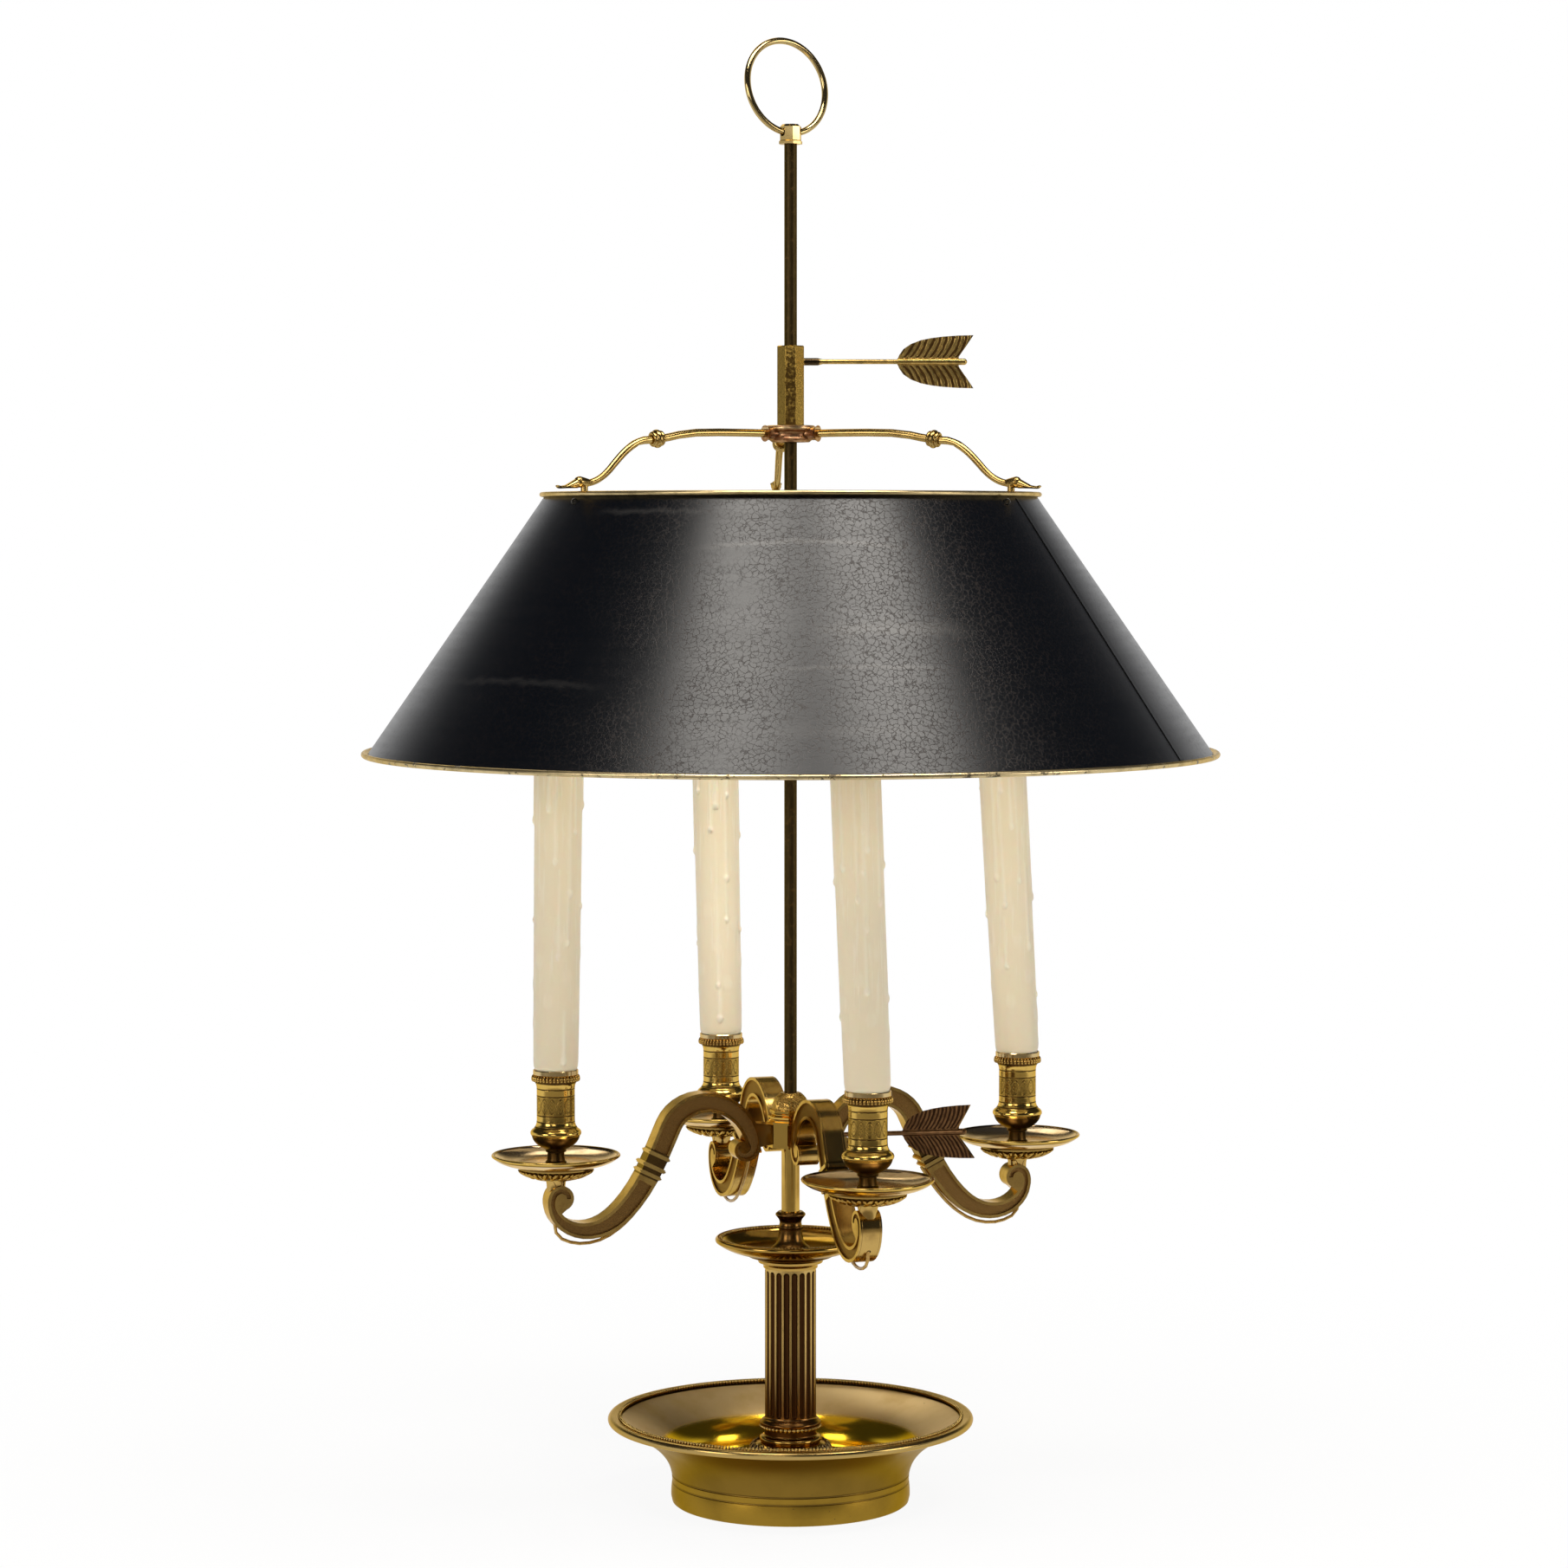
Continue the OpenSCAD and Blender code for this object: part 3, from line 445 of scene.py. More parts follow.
def base_brass():
    """The spun base: pale lacquer on the flare, deep gold in the well and on the outside wall."""
    f = metal("spun_brass")
    v = f.place()
    x, y, z = f.parts(v)
    r = radius(x, y)
    flare = r.step(75.5, 78.5)
    # a curve that runs in the wall's thickness parts its inside from its outside
    between_walls = (r - 70).at_least(0.05) ** 0.228 * 21.8
    inside = (z - between_walls).step(-0.5, 0.5) * (1 - r.step(101, 103))
    clouds = f.noise(v, 0.03, 4, 0.6).step(0.4, 0.72)
    dots = (1 - f.cells(v, 0.16).step(0.04, 0.09)) * f.noise(v, 0.04).step(0.48, 0.6)
    lines = f.noise(f.place(scale=(0.02, 0.02, 1)), 3, 2)
    well = f.mix(clouds, (0.85, 0.53, 0.03), (0.7, 0.42, 0.022))
    pale = f.mix(clouds, (0.72, 0.53, 0.25), (0.62, 0.43, 0.17))
    outer = f.mix(z.step(16.5, 17.5), (0.3, 0.18, 0.023), (0.21, 0.125, 0.02))
    outer = f.mix(clouds * 0.4, outer, (0.15, 0.09, 0.014))
    # the rolled lip is lighter and smoother: worn polish, and a painted highlight line round the
    # rim
    lip = r.step(102.8, 103.8) * z.step(46.4, 47)
    color = f.mix(inside, f.mix(lip, outer, (0.42, 0.29, 0.1)), f.mix(flare, well, pale))
    foot = r.step(70, 71) * (1 - r.step(73, 74))
    grooves = z.band(12.2, 13, 0.2).at_least(z.band(16.6, 17.4, 0.2)) * foot
    # painted shade: a near-black ring in the rim, behind and under the bead row
    shade_behind_beads = r.band(101.5, 103.4, 0.2) * z.step(48.5, 49.2)
    color = f.mix((dots * 0.8).at_least(grooves * 0.7), color, (0.12, 0.075, 0.02))
    color = f.mix(shade_behind_beads * 0.95, color, (0.05, 0.025, 0.008))
    rough = f.between(inside, 0.34, 0.14) + flare * inside * 0.24 - lip * 0.12 + clouds * 0.06
    lacquer = flare * inside * (1 - shade_behind_beads) * 0.35
    f.set(base_color=color, roughness=rough, metallic=1 - lacquer)
    f.set(normal=f.bump(lines, 0.05, 0.3))
    return f.material


def column_brass():
    """Gold on the fillets and dark brown in the flutes, and painted darker towards the foot, as a
    painted reflection of the dark base below it.
    """
    f = metal("column_brass")
    v = f.place()
    x, y, z = f.parts(v)
    r = radius(x, y)
    fillet = r.step(14.6, 15.25)
    # painted reflection: the fillets' gold turns dark brown towards the foot
    low = 1 - z.step(50, 105)
    worn = f.noise(v, 0.4, 4, 0.6)
    gold = f.mix(low, (0.62, 0.42, 0.14), (0.2, 0.1, 0.03))
    color = f.mix(fillet * (0.7 + 0.3 * worn), (0.055, 0.022, 0.007), gold)
    f.set(base_color=color, roughness=f.between(fillet, 0.42, 0.2) + worn * 0.08)
    f.set(normal=f.bump(worn, 0.15, 0.2))
    return f.material


def turned_brass(name, bands, gold=(0.45, 0.28, 0.07)):
    """Old turned brass with tarnish. bands are (low, high, how dark) by height: dark rings, which
    on the base's rim beads are painted shade.
    """
    f = metal(name, gold)
    v = f.place()
    z = f.parts(v)[2]
    worn = f.noise(v, 0.12, 4, 0.6)
    shade = worn.step(0.45, 0.75) * 0.3
    for low, high, depth in bands:
        shade = shade.at_least(z.band(low, high, 0.35) * depth)
    color = f.mix(shade, gold, (0.1, 0.042, 0.012))
    f.set(base_color=color, roughness=0.14 + shade * 0.15)
    f.set(normal=f.bump(f.noise(v, 0.3, 3), 0.06, 0.2))
    return f.material


def cup_brass(i):
    """A candle cup: incised lines and an engraved band of leaves with brown patina, and dark brown
    painted shade underneath, in the crease over its bulge and behind the beads under its lip.
    """
    cx, cy = candle_spot(i)
    f = metal(f"cup_brass_{i + 1}")
    v = f.place(shift=(-cx, -cy, 0), turn=-candle_turn(i))
    x, y, z = f.parts(v)
    angle = y.math("ARCTAN2", x)
    worn = f.noise(v, 0.25, 4, 0.6)
    lines = z.band(238.5, 239.1, 0.18)
    for height in (235.0, 250.3, 254.4, 231.9):
        lines = lines.at_least(z.band(height - 0.3, height + 0.3, 0.18))
    # the leaves are two waves that cross, with veins
    wave = (angle * 7).sine() * 4.2
    h = z - 244.7
    stem = 1 - abs(h - wave).step(0.25, 0.75)
    stem2 = 1 - abs(h + wave).step(0.25, 0.75)
    veins = 1 - abs((h * 1.6 + abs((angle * 7).sine()) * 9).sine()).step(0.12, 0.45)
    leaf = stem.at_least(stem2).at_least(veins * 0.7) * z.band(239.6, 249.8, 0.3)
    # painted shade: dark under the cup, in the crease above its bulge and behind the beads under
    # its lip
    under = (1 - z.step(225.8, 226.8)) * 0.93
    under = under.at_least(z.band(231.2, 232.4, 0.3) * 0.7)
    under = under.at_least(z.band(257.6, 262.0, 0.3) * 0.95)
    depth = lines.at_least(leaf * 0.75).at_least(under)
    color = f.mix(worn.step(0.45, 0.8) * 0.5, (0.62, 0.41, 0.1), (0.42, 0.26, 0.055))
    color = f.mix(z.band(238.8, 250.3, 0.2) * 0.55, color, (0.3, 0.18, 0.035))
    color = f.mix(z.step(262.4, 262.9), color, (0.6, 0.45, 0.22))
    color = f.mix(depth, color, PATINA_AND_SHADE_BROWN)
    f.set(base_color=color, roughness=0.13 + depth * 0.2 + worn * 0.06)
    f.set(normal=f.bump(1 - lines.at_least(leaf), 0.6, 0.25))
    return f.material


def pan_brass(i):
    """A drip pan: pale polish inside, gold rim, brown patina in the carving underneath, painted
    shade on the rest of its underside, and a painted dark line in the crease inside its rim.
    """
    cx, cy = candle_spot(i)
    f = metal(f"pan_brass_{i + 1}")
    v = f.place(shift=(-cx, -cy, 0))
    x, y, z = f.parts(v)
    r = radius(x, y)
    clouds = f.noise(v, 0.08, 4, 0.6).step(0.42, 0.72)
    top = f.mix(clouds, (0.72, 0.58, 0.4), (0.56, 0.43, 0.27))
    gold = f.mix(clouds, (0.55, 0.37, 0.1), (0.42, 0.27, 0.065))
    carved = z.band(201.4, 207.2, 0.5) * (1 - r.step(22.2, 23))
    inside = z.step(210.2, 210.5) * (1 - r.step(36, 36.6))
    color = f.mix(inside, gold, top)
    # painted shade: a dark line in the crease inside the rim
    line = r.band(35.9, 36.9, 0.15) * z.step(211, 211.5)
    color = f.mix(line * 0.8, color, (0.07, 0.035, 0.012))
    # painted shade: the pan's underside between the carving and the rim is darkened
    below = z.band(207.4, 210.0, 0.2) * (1 - r.step(34.5, 36))
    color = f.mix(carved.at_least(below * 0.8) * 0.85, color, (0.07, 0.03, 0.01))
    f.set(base_color=color, roughness=0.13 + carved * 0.25 + clouds * 0.08)
    f.set(normal=f.bump(f.noise(v, 0.1, 2), 0.15, 0.3))
    return f.material


def arm_brass():
    """The scroll arms: gold borders round sunk panels with a fine stippled brown ground, painted
    shade between the ridges of each collar and painted highlights on the ridges.
    """
    f = metal("arm_brass")
    v = f.place(turn=-ARM_TURN)
    x, y, z = f.parts(v)
    # all four arms at once: how far out from the rod, and how far from the arm's middle plane
    across, out = abs(x).at_most(abs(y)), abs(x).at_least(abs(y)) - 86.65
    sunk = across.band(5.2, 5.4, 0.04)
    # the collar: from its middle, along the arm and across it
    up = z - 205.8
    along, beside = out * 0.4406 - up * 0.8977, abs(out * 0.8977 + up * 0.4406)
    near = 1 - beside.step(8.4, 8.8)
    ridges = along.band(-8.5, -6.3, 0.15).at_least(along.band(-1.2, 1.2, 0.15))
    ridges = ridges.at_least(along.band(3.7, 5.9, 0.15))
    collar = along.band(-9.6, 7.0, 0.2) * near * (1 - ridges)
    worn = f.noise(v, 0.1, 4, 0.6)
    stipple = f.cells(v, 2.0).step(0.0, 0.8)
    ground = f.mix(stipple, (0.12, 0.062, 0.019), (0.25, 0.14, 0.042))
    gold = f.mix(worn.step(0.4, 0.75) * 0.75, (0.5, 0.33, 0.1), (0.26, 0.15, 0.045))
    # painted shade between the collar's ridges, and painted highlights on the ridges
    color = f.mix(collar * 0.85, f.mix(sunk, gold, ground), (0.05, 0.024, 0.008))
    color = f.mix(ridges * near * 0.6, color, (0.6, 0.42, 0.14))
    f.set(base_color=color, roughness=0.13 + sunk * 0.25 + worn * 0.08)
    f.set(normal=f.bump(stipple * sunk, 0.35, 0.25, f.bump(worn, 0.08, 0.3)))
    return f.material


def cap_brass():
    """The hub's cap: stippled with a punch, brown in the hollows."""
    f = metal("cap_brass")
    v = f.place()
    punched = f.cells(v, 1.1).step(0.1, 0.7)
    color = f.mix(punched, (0.16, 0.08, 0.022), (0.45, 0.28, 0.07))
    f.set(base_color=color, roughness=0.26 + (1 - punched) * 0.2)
    f.set(normal=f.bump(punched, 0.4, 0.35))
    return f.material


def rod_bronze():
    """The rod: dark brown patina, rubbed in long faint streaks."""
    f = metal("rod_bronze")
    v = f.place(scale=(1, 1, 0.12))
    streak = f.noise(v, 0.7, 4, 0.65)
    spots = f.noise(f.place(), 0.35, 3).step(0.55, 0.75)
    color = f.mix(streak.step(0.45, 0.8), (0.045, 0.03, 0.011), (0.08, 0.054, 0.022))
    color = f.mix(spots * 0.4, color, (0.16, 0.09, 0.03))
    f.set(base_color=color, roughness=0.46 + spots * 0.1)
    f.set(normal=f.bump(streak, 0.08, 0.2))
    return f.material


def feather_brass(name, height, turn, lift, start, pitch, light, dark, rough):
    """An arrow that turn, lift and height place: barbs engraved in its vanes, dark in the lines.
    start is where the vanes start along it, and pitch sets how close the barbs are."""
    f = metal(name)
    v = f.place(turn=-turn)
    out, y, z = f.parts(v)
    lift = math.radians(lift)
    x = out * math.cos(lift) + (z - height) * math.sin(lift)
    up = abs((z - height) * math.cos(lift) - out * math.sin(lift))
    vane = x.step(start + 2, start + 4) * up.step(1.8, 2.4)
    bend = f.noise(v, 0.12, 2) * 1.5
    barb = ((x * 0.75 - up * 0.8 + up * up * 0.025 + bend) * pitch).sine()
    cut = barb.step(-0.3, 0.5) * vane
    worn = f.noise(v, 0.3, 4, 0.6)
    color = f.mix(worn.step(0.35, 0.75), light, darker(light, 0.55))
    color = f.mix(cut * 0.93, color, dark)
    thread = x.band(8, 17, 0.4)
    color = f.mix(thread, color, (0.06, 0.04, 0.02))
    f.set(base_color=color, roughness=rough + cut * 0.2)
    f.set(normal=f.bump(1 - cut, 0.6, 0.4))
    return f.material


def sleeve_brass():
    """The sleeve: gold on the edges, with a pitted dark patina on the faces, painted darker still
    on the faces towards front and back as a painted dark reflection.
    """
    f = metal("sleeve_brass")
    v = f.place()
    x, y, z = f.parts(v)
    pits = f.noise(v, 0.55, 5, 0.7)
    # painted reflection: the faces near x = 0, towards front and back, get more of the dark colour
    face = 1 - abs(x).step(2.4, 3.6)
    high = z.step(670, 688)
    patina = (pits + face * 0.25 - high * 0.12).step(0.45, 0.78)
    color = f.mix(patina, (0.58, 0.37, 0.08), (0.08, 0.045, 0.011))
    f.set(base_color=color, roughness=0.2 + patina * 0.25)
    f.set(normal=f.bump(pits, 0.2, 0.3))
    return f.material


def red_bronze():
    """The hub of the swan necks: reddish bronze with gold edges."""
    f = metal("red_bronze")
    v = f.place()
    z = f.parts(v)[2]
    worn = f.noise(v, 0.3, 4, 0.6)
    edge = z.band(640.6, 641.6, 0.2).at_least(z.step(642.2, 642.6))
    color = f.mix(worn.step(0.35, 0.75), (0.26, 0.12, 0.06), (0.5, 0.32, 0.17))
    color = f.mix(edge * 0.7, color, (0.68, 0.52, 0.28))
    f.set(base_color=color, roughness=0.28 + worn * 0.1)
    f.set(normal=f.bump(worn, 0.1, 0.2))
    return f.material


def tole(name, japan, lining):
    """The shade: blue-black japan outside, with fine crackle, rubbed streaks, arcs painted lighter
    as streaks of sheen on its front, and painted shadow lines beside the seam, and pale paint
    inside. japan and lining are the two colours."""
    f = Finish(name, specular_ior_level=0.36)
    v = f.place()
    x, y, z = f.parts(v)
    r = radius(x, y)
    slope = (SHADE_BOTTOM[0] - SHADE_TOP[0]) / (SHADE_TOP[1] - SHADE_BOTTOM[1])
    wall = SHADE_TOP[0] + (SHADE_TOP[1] - z) * slope
    outside = (r - wall).step(-0.65, -0.35)
    wobble = f.noise(v, 0.02, 3)
    warp = f.noise(v, 0.3, output=1)
    warp = f.node("ShaderNodeVectorMath", {"operation": "MULTIPLY_ADD"},
                  {0: warp, 1: (3.5, 3.5, 3.5), 2: v})
    cracks = f.cells(warp, 0.3, "DISTANCE_TO_EDGE")
    aged = f.noise(v, 0.012, 4, 0.65)
    angle = y.math("ARCTAN2", x)
    sunlit = 1 - abs(angle + 1.47).step(0.3, 0.75) * 0.75
    broken = f.noise(v, 0.35, 3, 0.6).step(0.3, 0.5)
    crackle = (1 - cracks.step(0.02, 0.075)) * aged.step(0.3, 0.5) * broken * sunlit
    fray = f.noise(v, 0.12, 3, 0.6)
    line = 0
    for center, height, bend, reach, width, strength in RUBBED_SHEEN_ARCS:
        off = z - height + (x - center) ** 2 * bend + (fray - 0.5) * width * 2
        along = 1 - abs(x - center).step(reach * 0.4, reach)
        line = along * (1 - abs(off).step(0, width)) * strength + line
    line = line.at_most(1) * (1 - y.step(-20, 0))
    rubbed = f.noise(f.place(scale=(0.25, 0.25, 5)), 0.05, 2).step(0.3, 0.75)
    beside = abs(abs(angle - math.radians(SEAM_TURN)) * r - 3.0).step(0.35, 0.8)
    lighter = tuple(c + more for c, more in zip(japan, (0.0004, 0.0007, 0.0009)))
    face = f.mix(rubbed * 0.5, japan, lighter)
    # painted sheen: the rubbed arcs, on the front only, are painted lighter
    face = f.mix(line, face, (0.05, 0.048, 0.046))
    face = f.mix(crackle * 0.25, face, (0.04, 0.02, 0.01))
    # painted shadow: near-black lines 3 mm either side of the seam, at the edges of the seam's
    # strip
    face = f.mix(beside, (0.0005, 0.0005, 0.0005), face)
    paint = f.mix(wobble, lining, tuple(c - less for c, less in zip(lining, (0.1, 0.11, 0.11))))
    rough = f.between(outside, 0.55, 0.31) - rubbed * 0.03 * outside + crackle * 0.2
    f.set(base_color=f.mix(outside, paint, face), roughness=rough)
    f.set(normal=f.bump((1 - crackle * 0.6) * 0.7 + wobble * 0.3, 0.2, 0.3))
    return f.material


def gilt(name, gold, speck):
    """Worn gilt on sheet. speck is how much black shows through."""
    f = metal(name, gold)
    v = f.place()
    worn = f.noise(v, 0.09, 4, 0.65)
    color = f.mix(worn.step(0.4, 0.75), gold, darker(gold, 0.6))
    chips = f.noise(v, 0.16, 5, 0.75).step(0.56, 0.62) * speck
    color = f.mix(chips, color, (0.012, 0.012, 0.014))
    f.set(base_color=color, metallic=1 - chips, roughness=0.25 + worn * 0.12)
    f.set(normal=f.bump(worn, 0.12, 0.3))
    return f.material


def wax(i, ivory):
    """A candle cover of ivory wax: runs painted paler for light through the thicker wax, on a
    ground painted warmer towards the top for the glow of the bulbs.
    """
    cx, cy = candle_spot(i)
    f = Finish(f"candle_wax_{i + 1}", roughness=0.4, subsurface_weight=0.2, subsurface_scale=0.003)
    x, y, z = f.parts(f.place(shift=(-cx, -cy, -COVER_Z), lean=-LEAN[i]))
    proud = (radius(x, y) - WAX_R - (z - 30) * WAX_TAPER).step(-0.25, 1.0)
    streak = f.noise(f.place(shift=(40.0 * i, 0, 0), scale=(1, 1, 0.05)), 0.5, 3, 0.6)
    streak = streak.step(0.5, 0.66) * z.step(20, 70)
    # painted light: warmer towards the top, for the glow of the bulbs
    color = f.mix(z.step(60, 190), ivory, (0.87, 0.76, 0.53))
    # painted light: the runs that stand out are painted paler, for light through the thicker wax
    color = f.mix((proud * 0.8).at_least(streak * 0.6), color, (0.95, 0.89, 0.73))
    f.set(base_color=color)
    f.set(normal=f.bump(streak, 0.4, 0.4))
    return f.material


def bulb_glass():
    """Frosted candle bulbs on brass caps."""
    f = Finish("bulb_glass", (0.95, 0.9, 0.8), roughness=0.3, transmission_weight=0.6, ior=1.45)
    z = f.parts(f.place())[2]
    cap = 1 - z.step(461.2, 462)
    f.set(base_color=f.mix(cap, (0.96, 0.92, 0.82), (0.5, 0.42, 0.25)), metallic=cap)
    return f.material


def plain(name, color, other, scale, rough, metallic=0.0, strength=0.2):
    """A surface of two near colours in a fine grain."""
    f = Finish(name, color, metallic=metallic)
    grain = f.noise(f.place(), scale, 4, 0.6)
    f.set(base_color=f.mix(grain.step(0.3, 0.7), color, other), roughness=rough + grain * 0.12)
    f.set(normal=f.bump(grain, strength, 0.3))
    return f.material


def ease_edges():
    """A node group that joins a solid's faces and shades them smooth up to an angle."""
    group = bpy.data.node_groups.new("ease_edges", "GeometryNodeTree")
    group.interface.new_socket("Geometry", in_out="INPUT", socket_type="NodeSocketGeometry")
    group.interface.new_socket("Geometry", in_out="OUTPUT", socket_type="NodeSocketGeometry")
    start, merge, smooth, sharp, end, angle, over = (group.nodes.new(kind) for kind in (
        "NodeGroupInput", "GeometryNodeMergeByDistance", "GeometryNodeSetShadeSmooth",
        "GeometryNodeSetShadeSmooth", "NodeGroupOutput", "GeometryNodeInputMeshEdgeAngle",
        "FunctionNodeCompare"))
    merge.inputs["Distance"].default_value = 0.00001
    sharp.domain = "EDGE"
    sharp.inputs["Shade Smooth"].default_value = False
    over.inputs[1].default_value = math.radians(33)
    for source, target in ((start, merge), (merge, smooth), (smooth, sharp), (sharp, end),
                           (angle, over)):
        group.links.new(source.outputs[0], target.inputs[0])
    group.links.new(over.outputs[0], sharp.inputs["Selection"])
    return group


# ------------------------------------------------------------------- settings

def count_of(name, description, default, low):
    return IntProperty(name=name, description=description, default=default, min=low)


def color_of(name, description, default):
    return FloatVectorProperty(name=name, description=description, default=default, size=3,
                               subtype="COLOR")


class LampSizes(bpy.types.PropertyGroup):
    """Sizes and colours that a user may change"""
    base_beads: count_of("Base beads", "Beads inside the base's rim", 310, 100)
    cup_beads: count_of("Cup beads", "Beads under a candle cup's lip", 40, 12)
    pan_leaves: count_of("Pan leaves", "Leaves carved under a drip pan", 20, 8)
    drip_depth: FloatProperty(name="Drip depth", description="How far the wax drips stand out",
                              default=0.0009, unit="LENGTH")
    brass_color: color_of("Brass", "Polished brass of the arms' hub and tube", (0.56, 0.36, 0.085))
    japan_color: color_of("Japan", "Outside of the shade", (0.0001, 0.0007, 0.0022))
    lining_color: color_of("Lining", "Inside of the shade", (0.74, 0.69, 0.56))
    wax_color: color_of("Wax", "Ivory of the candle covers", (0.86, 0.76, 0.56))
    backdrop: color_of("Backdrop", "Floor and background", (1.0, 1.0, 1.0))


# ------------------------------------------------------------------ operators

class LAMP_OT_stage(bpy.types.Operator):
    """Floor, studio lamps and camera"""
    bl_idname = "lamp.stage"
    bl_label = "Stage"

    def execute(self, context):
        scene = context.scene
        deselect()
        bpy.ops.object.camera_add()
        camera = context.object
        camera.data.lens = CAMERA_LENS
        camera.data.sensor_width = 36
        camera.data.clip_end = 20
        camera.matrix_world = Matrix.Translation(CAMERA_PLACE) @ rotation(90 - CAMERA_DIP, "X")
        scene.camera = camera

        white = (*scene.lamp_sizes.backdrop, 1)
        bpy.ops.mesh.primitive_plane_add(size=14, location=(0, 0, 0))
        floor = name_piece("floor")
        # The floor glows in the backdrop's colour to the camera, and to metal that mirrors what is
        # behind the lamp. In front it is as dark to metal as a room. Near the foot its own shading
        # shows a little.
        f = Finish("floor_white", roughness=0.9, specular_ior_level=0.1)
        x, y, z = f.parts(f.place())
        mirrored, behind = f.rays("Glossy") + f.rays("Transmission"), y.step(-700, -250)
        seen = (f.rays("Camera") + mirrored * behind).at_most(1)
        far = radius(x, y).step(150, 900)
        glow = f.node("ShaderNodeEmission", None, {"Color": white, "Strength": 1.0})
        f.set(base_color=f.mix(mirrored * (1 - behind), (0.88, 0.87, 0.85), (0.3, 0.29, 0.27)))
        both = f.node("ShaderNodeMixShader", None,
                      {0: seen * f.between(far, 0.93, 1.0), 1: f.surface, 2: glow})
        f.tree.links.new(both.socket, f.output.inputs["Surface"])
        floor.data.materials.append(f.material)

        scene.world = bpy.data.worlds.new("studio")
        g = Graph(scene.world)
        x, y, z = g.parts(g.node("ShaderNodeTexCoord", output="Generated"))
        behind = y.step(-0.1, 0.3) * (1 - z.step(0.15, 0.42))
        seen = (g.rays("Camera") + (g.rays("Glossy") + g.rays("Transmission")) * behind).at_most(1)
        room = g.node("ShaderNodeBackground", None, {"Color": (0.04, 0.04, 0.043, 1)})
        backdrop = g.node("ShaderNodeBackground", None, {"Color": white})
        both = g.node("ShaderNodeMixShader", None, {0: seen, 1: room, 2: backdrop})
        g.node("ShaderNodeOutputWorld", None, {"Surface": both}, output=None)

        for name, place, aim, size, power in LAMPS:
            bpy.ops.object.light_add(type="AREA", location=place)
            lamp = name_piece(name)
            lamp.data.shape = "SQUARE"
            lamp.data.size = size
            lamp.data.energy = power
            lamp.data.color = LAMP_COLOR
            direction = Vector(aim) - Vector(place)
            lamp.rotation_euler = direction.to_track_quat("-Z", "Y").to_euler()
        scene.view_settings.view_transform = "Standard"
        return {"FINISHED"}


class LAMP_OT_finishes(bpy.types.Operator):
    """Finishes of all the solid parts, and soft shading on their turned faces"""
    bl_idname = "lamp.finishes"
    bl_label = "Finishes"

    def execute(self, context):
        sizes = context.scene.lamp_sizes
        group = ease_edges()
        for node in NODES.values():
            only(node)
            if node.data.has_custom_normals:
                bpy.ops.mesh.customdata_custom_splitnormals_clear()
            node.modifiers.new("ease_edges", "NODES").node_group = group
        bright = brass("polished_brass", tuple(sizes.brass_color), (0.34, 0.2, 0.04))
        pale = brass("pale_brass", (0.5, 0.38, 0.17), (0.34, 0.24, 0.09))
        dull = brass("aged_brass", (0.36, 0.22, 0.055), (0.18, 0.1, 0.03), rough=0.24)
        shade = tole("black_tole", tuple(sizes.japan_color), tuple(sizes.lining_color))
        finishes = {
            "base_dish": base_brass(), "column": column_brass(), "ring_handle": pale,
            "arm_tube": bright, "arm_hub": bright, "hub_cap": cap_brass(), "finial_block": pale,
            "column_foot": turned_brass("foot_brass", [(40, 46, 0.93), (10, 30, 0.4)]),
            "capital": turned_brass("capital_brass", [(0, 0.1, 0)]),
            "tazza": turned_brass("tray_brass", [(140, 152.2, 0.9)], (0.36, 0.22, 0.05)),
            "stem_collar": turned_brass("collar_brass", [(150, 176, 0.85)]),
            "cup_nipples": dull, "base_locknut": dull, "shade_nut": dull,
            "shade_pins": plain("pin_steel", (0.09, 0.085, 0.075), (0.04, 0.038, 0.035),
                                0.8, 0.35, 0.9),
            "stem_rod": rod_bronze(),
            "lower_arrow": feather_brass("lower_arrow_bronze", 220, -27.5, 5, 75, 3.2,
                                         (0.17, 0.09, 0.04), (0.035, 0.016, 0.008), 0.34),
            "upper_arrow": feather_brass("upper_arrow_brass", 680.4, 0, 0, 63, 2.2,
                                         (0.56, 0.38, 0.12), (0.06, 0.026, 0.008), 0.24),
            "shade_sleeve": sleeve_brass(), "spider_hub": red_bronze(), "shade_shell": shade,
            "shade_top_ring": gilt("band_gilt", (0.6, 0.47, 0.24), 0.12),
            "shade_bottom_rim": gilt("rim_gilt", (0.62, 0.5, 0.28), 0.9),
            "base_ballast": plain("cast_iron", (0.05, 0.05, 0.05), (0.02, 0.02, 0.02),
                                  0.5, 0.6, 0.8),
            "felt_pad": plain("green_felt", (0.02, 0.06, 0.03), (0.03, 0.09, 0.045),
                              3.0, 0.85, 0.0, 0.5),
        }
        swan = brass("swan_brass", (0.42, 0.29, 0.1), (0.25, 0.16, 0.05), rough=0.2, seed=40)
        arms, glass = arm_brass(), bulb_glass()
        white = plain("socket_white", (0.8, 0.79, 0.75), (0.72, 0.7, 0.66), 0.2, 0.3)
        wire = plain("wire_gold", (0.5, 0.32, 0.08), (0.38, 0.22, 0.05), 0.3, 0.25, 0.5)
        for i in range(3):
            finishes[f"swan_arm_{i + 1}"] = swan
        for i in range(4):
            at_candle = {"arm": arms, "drip_pan": pan_brass(i), "candle_cup": cup_brass(i),
                         "candle_cover": wax(i, tuple(sizes.wax_color)), "lamp_socket": white,
                         "bulb": glass, "arm_wire": wire}
            finishes.update({f"{name}_{i + 1}": finish for name, finish in at_candle.items()})
        for name, material in finishes.items():
            NODES[name].material_slots[0].material = material
        return {"FINISHED"}


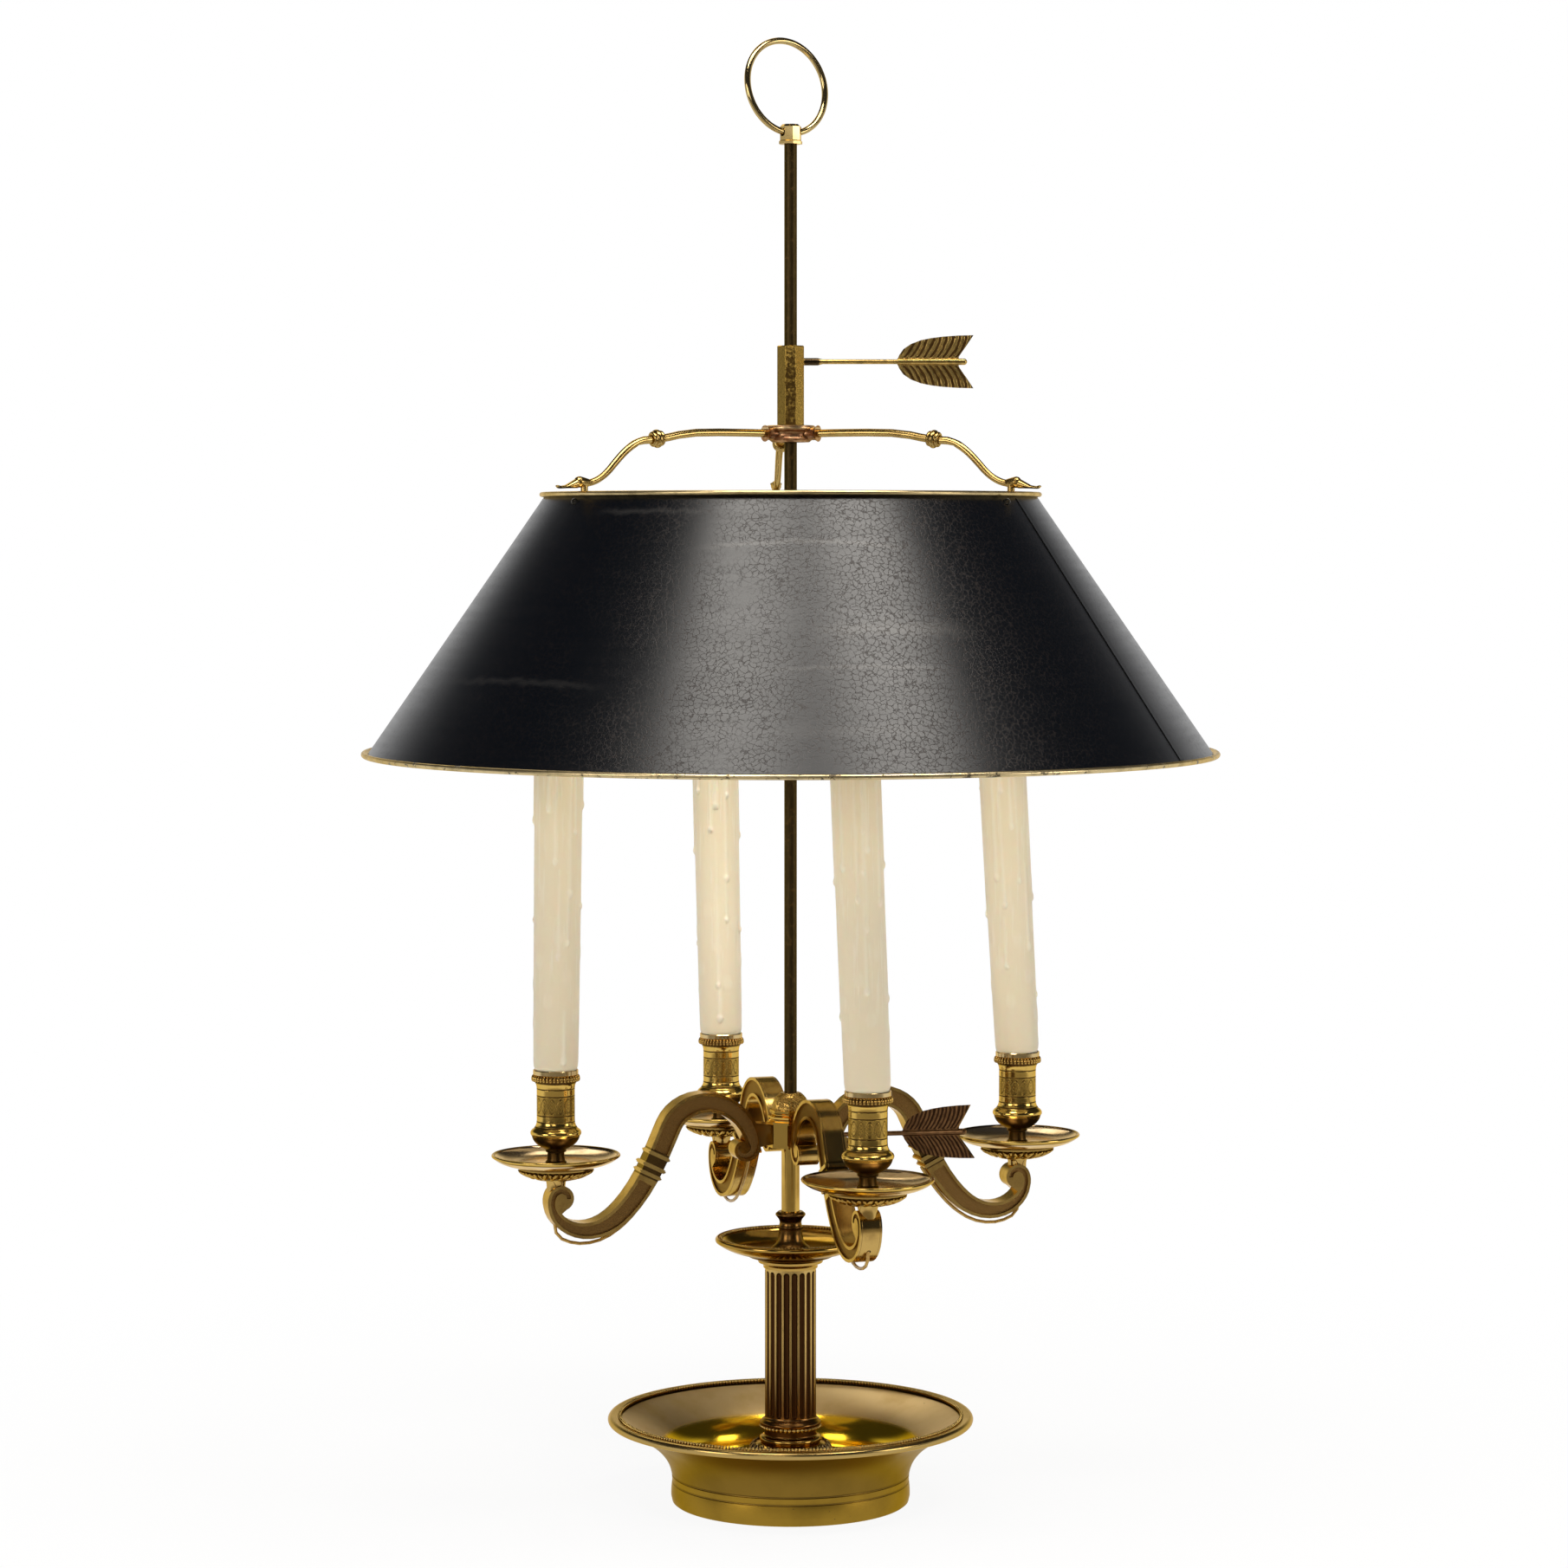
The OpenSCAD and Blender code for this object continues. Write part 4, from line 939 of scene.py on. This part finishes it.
class LAMP_OT_base_beads(bpy.types.Operator):
    """Bead rows of the base, the column's collar and the tray"""
    bl_idname = "lamp.base_beads"
    bl_label = "Base beads"

    def execute(self, context):
        sizes = context.scene.lamp_sizes
        bead = brass("bead_brass", (0.56, 0.4, 0.15), (0.3, 0.19, 0.06), seed=90)
        # painted shade: the rim beads are darkened below 51.7 mm, where they sit in the shade of
        # the rim
        rim_bead = turned_brass("rim_bead_brass", [(48, 51.7, 0.9)], (0.5, 0.35, 0.12))
        for finish, name, *row in (
                (rim_bead, "base_beads", 102.3, 52.0, sizes.base_beads, 0.94, 1.6, 0, (8, 6)),
                (bead, "column_beads", 17.4, 45.2, 43, 1.24, 1.0, 0, (12, 8)),
                (bead, "tray_beads", 41.5, 158.4, 130, 0.8, 1.4, 0, (8, 6))):
            dress(bead_row(name, *row), finish, "stand")
        return {"FINISHED"}


class LAMP_OT_cup_beads(bpy.types.Operator):
    """Bead rows under the lips of the candle cups"""
    bl_idname = "lamp.cup_beads"
    bl_label = "Cup beads"

    def execute(self, context):
        count = context.scene.lamp_sizes.cup_beads
        bead = brass("cup_bead_brass", (0.48, 0.3, 0.08), (0.26, 0.15, 0.04), seed=120)
        copy_to_candles(bead_row("cup_beads", 13.4, 260.6, count, 0.96, 2.0, -8, (10, 8)), bead)
        return {"FINISHED"}


class LAMP_OT_wax(bpy.types.Operator):
    """Candle covers with runs of wax, each with a drop at its lower end"""
    bl_idname = "lamp.wax"
    bl_label = "Candle wax"

    def execute(self, context):
        proud = context.scene.lamp_sizes.drip_depth / MM
        for i, drips in enumerate(DRIPS):
            pieces = [turned_wall(f"candle_wax_{i + 1}", WAX_PROFILE, 48)]
            # wide low waves all round, the runs that show from the front, and thin runs behind
            for k in range(14):
                low = 288 + (k * 37 + i * 23) % 60
                pieces += wax_run(360 / 14 * k + 9 * i, low, WAX_TOP + 1, 3.1, 0.4 * proud, False)
            for k, (angle, low) in enumerate(drips):
                high = min(WAX_TOP, low + 30 + 21 * ((k * 5 + i * 3) % 6))
                pieces += wax_run(angle, low, high, 1.15 + 0.2 * ((k + i) % 3), proud, True)
            for k in range(11):
                low = 300 + (k * 59 + i * 31) % 135
                high = min(WAX_TOP, low + 90)
                pieces += wax_run(-20 + 20 * k + 4 * i, low, high, 1.3 + 0.2 * (k % 3), proud, True)
            tube = joined(pieces)
            tube.data.remesh_voxel_size = 0.7 * MM
            bpy.ops.object.voxel_remesh()
            bpy.ops.object.mode_set(mode="EDIT")
            bpy.ops.mesh.select_all(action="SELECT")
            bpy.ops.mesh.vertices_smooth(factor=0.5, repeat=2)
            bpy.ops.object.mode_set(mode="OBJECT")
            bpy.ops.object.shade_smooth()
            x, y = candle_spot(i)
            pivot = Matrix.Translation((0, 0, COVER_Z * MM))
            tube.matrix_world = (Matrix.Translation((x * MM, y * MM, 0)) @ pivot
                                 @ rotation(LEAN[i], "Y") @ pivot.inverted())
            settle(tube)
            dress(tube, bpy.data.materials[f"candle_wax_{i + 1}"], "arm_cluster")
            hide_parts(f"candle_cover_{i + 1}")
        return {"FINISHED"}


class LAMP_OT_leaves(bpy.types.Operator):
    """Leaf bands under the drip pans and on the column's foot"""
    bl_idname = "lamp.leaves"
    bl_label = "Leaf bands"

    def execute(self, context):
        count = context.scene.lamp_sizes.pan_leaves
        gold = brass("leaf_brass", (0.46, 0.29, 0.07), (0.24, 0.13, 0.03), seed=150)
        copy_to_candles(leaf_row("pan_leaves", 17.9, 203.9, count, (5.6, 1.75, 1.1), 27, 24), gold)
        silver = brass("foot_leaf_brass", (0.34, 0.25, 0.13), (0.2, 0.13, 0.05), seed=180)
        foot_leaves = leaf_row("foot_leaves", 23.3, 33.6, 26, (3.2, 2.3, 0.9), -52, 18)
        dress(foot_leaves, silver, "stand")
        return {"FINISHED"}


class LAMP_OT_seam(bpy.types.Operator):
    """The lap seam of the shade's sheet"""
    bl_idname = "lamp.seam"
    bl_label = "Shade seam"

    def execute(self, context):
        sizes = context.scene.lamp_sizes
        out, down = SHADE_BOTTOM[0] - SHADE_TOP[0], SHADE_TOP[1] - SHADE_BOTTOM[1]
        length = math.hypot(out, down)
        deselect()
        bpy.ops.mesh.primitive_cube_add(size=MM)
        strip = name_piece("shade_seam")
        strip.scale = (length - 3, 5.5, 0.5)
        settle(strip)
        bpy.ops.object.mode_set(mode="EDIT")
        bpy.ops.mesh.select_all(action="SELECT")
        bpy.ops.mesh.subdivide(number_cuts=3)
        bpy.ops.object.mode_set(mode="OBJECT")
        middle = (Vector((SHADE_TOP[0], 0, SHADE_TOP[1]))
                  + Vector((SHADE_BOTTOM[0], 0, SHADE_BOTTOM[1]))) / 2 * MM
        strip.matrix_world = (rotation(SEAM_TURN, "Z") @ Matrix.Translation(middle)
                              @ Matrix.Rotation(math.atan2(down, out), 4, "Y")
                              @ Matrix.Translation((0, 0, 0.1 * MM)))
        settle(strip)
        finish = tole("seam_tole", tuple(sizes.japan_color), tuple(sizes.lining_color))
        dress(strip, finish, "shade")
        return {"FINISHED"}


CLASSES = (LampSizes, LAMP_OT_stage, LAMP_OT_finishes, LAMP_OT_base_beads, LAMP_OT_cup_beads,
           LAMP_OT_wax, LAMP_OT_leaves, LAMP_OT_seam)


class LAMP_PT_panel(bpy.types.Panel):
    """The lamp's pieces and sizes"""
    bl_idname = "LAMP_PT_panel"
    bl_label = "Bouillotte lamp"
    bl_space_type = "VIEW_3D"
    bl_region_type = "UI"
    bl_category = "Lamp"

    def draw(self, context):
        sizes = context.scene.lamp_sizes
        for name in sizes.bl_rna.properties.keys()[2:]:
            self.layout.prop(sizes, name)
        for cls in CLASSES[1:]:
            self.layout.operator(cls.bl_idname)


def register():
    for cls in (*CLASSES, LAMP_PT_panel):
        bpy.utils.register_class(cls)
    bpy.types.Scene.lamp_sizes = PointerProperty(type=LampSizes)


def unregister():
    del bpy.types.Scene.lamp_sizes
    for cls in reversed((*CLASSES, LAMP_PT_panel)):
        bpy.utils.unregister_class(cls)


def main():
    register()
    bpy.ops.lamp.stage()
    bpy.ops.lamp.finishes()
    bpy.ops.lamp.base_beads()
    bpy.ops.lamp.cup_beads()
    bpy.ops.lamp.wax()
    bpy.ops.lamp.leaves()
    bpy.ops.lamp.seam()
    deselect()


if __name__ == "__main__":
    main()
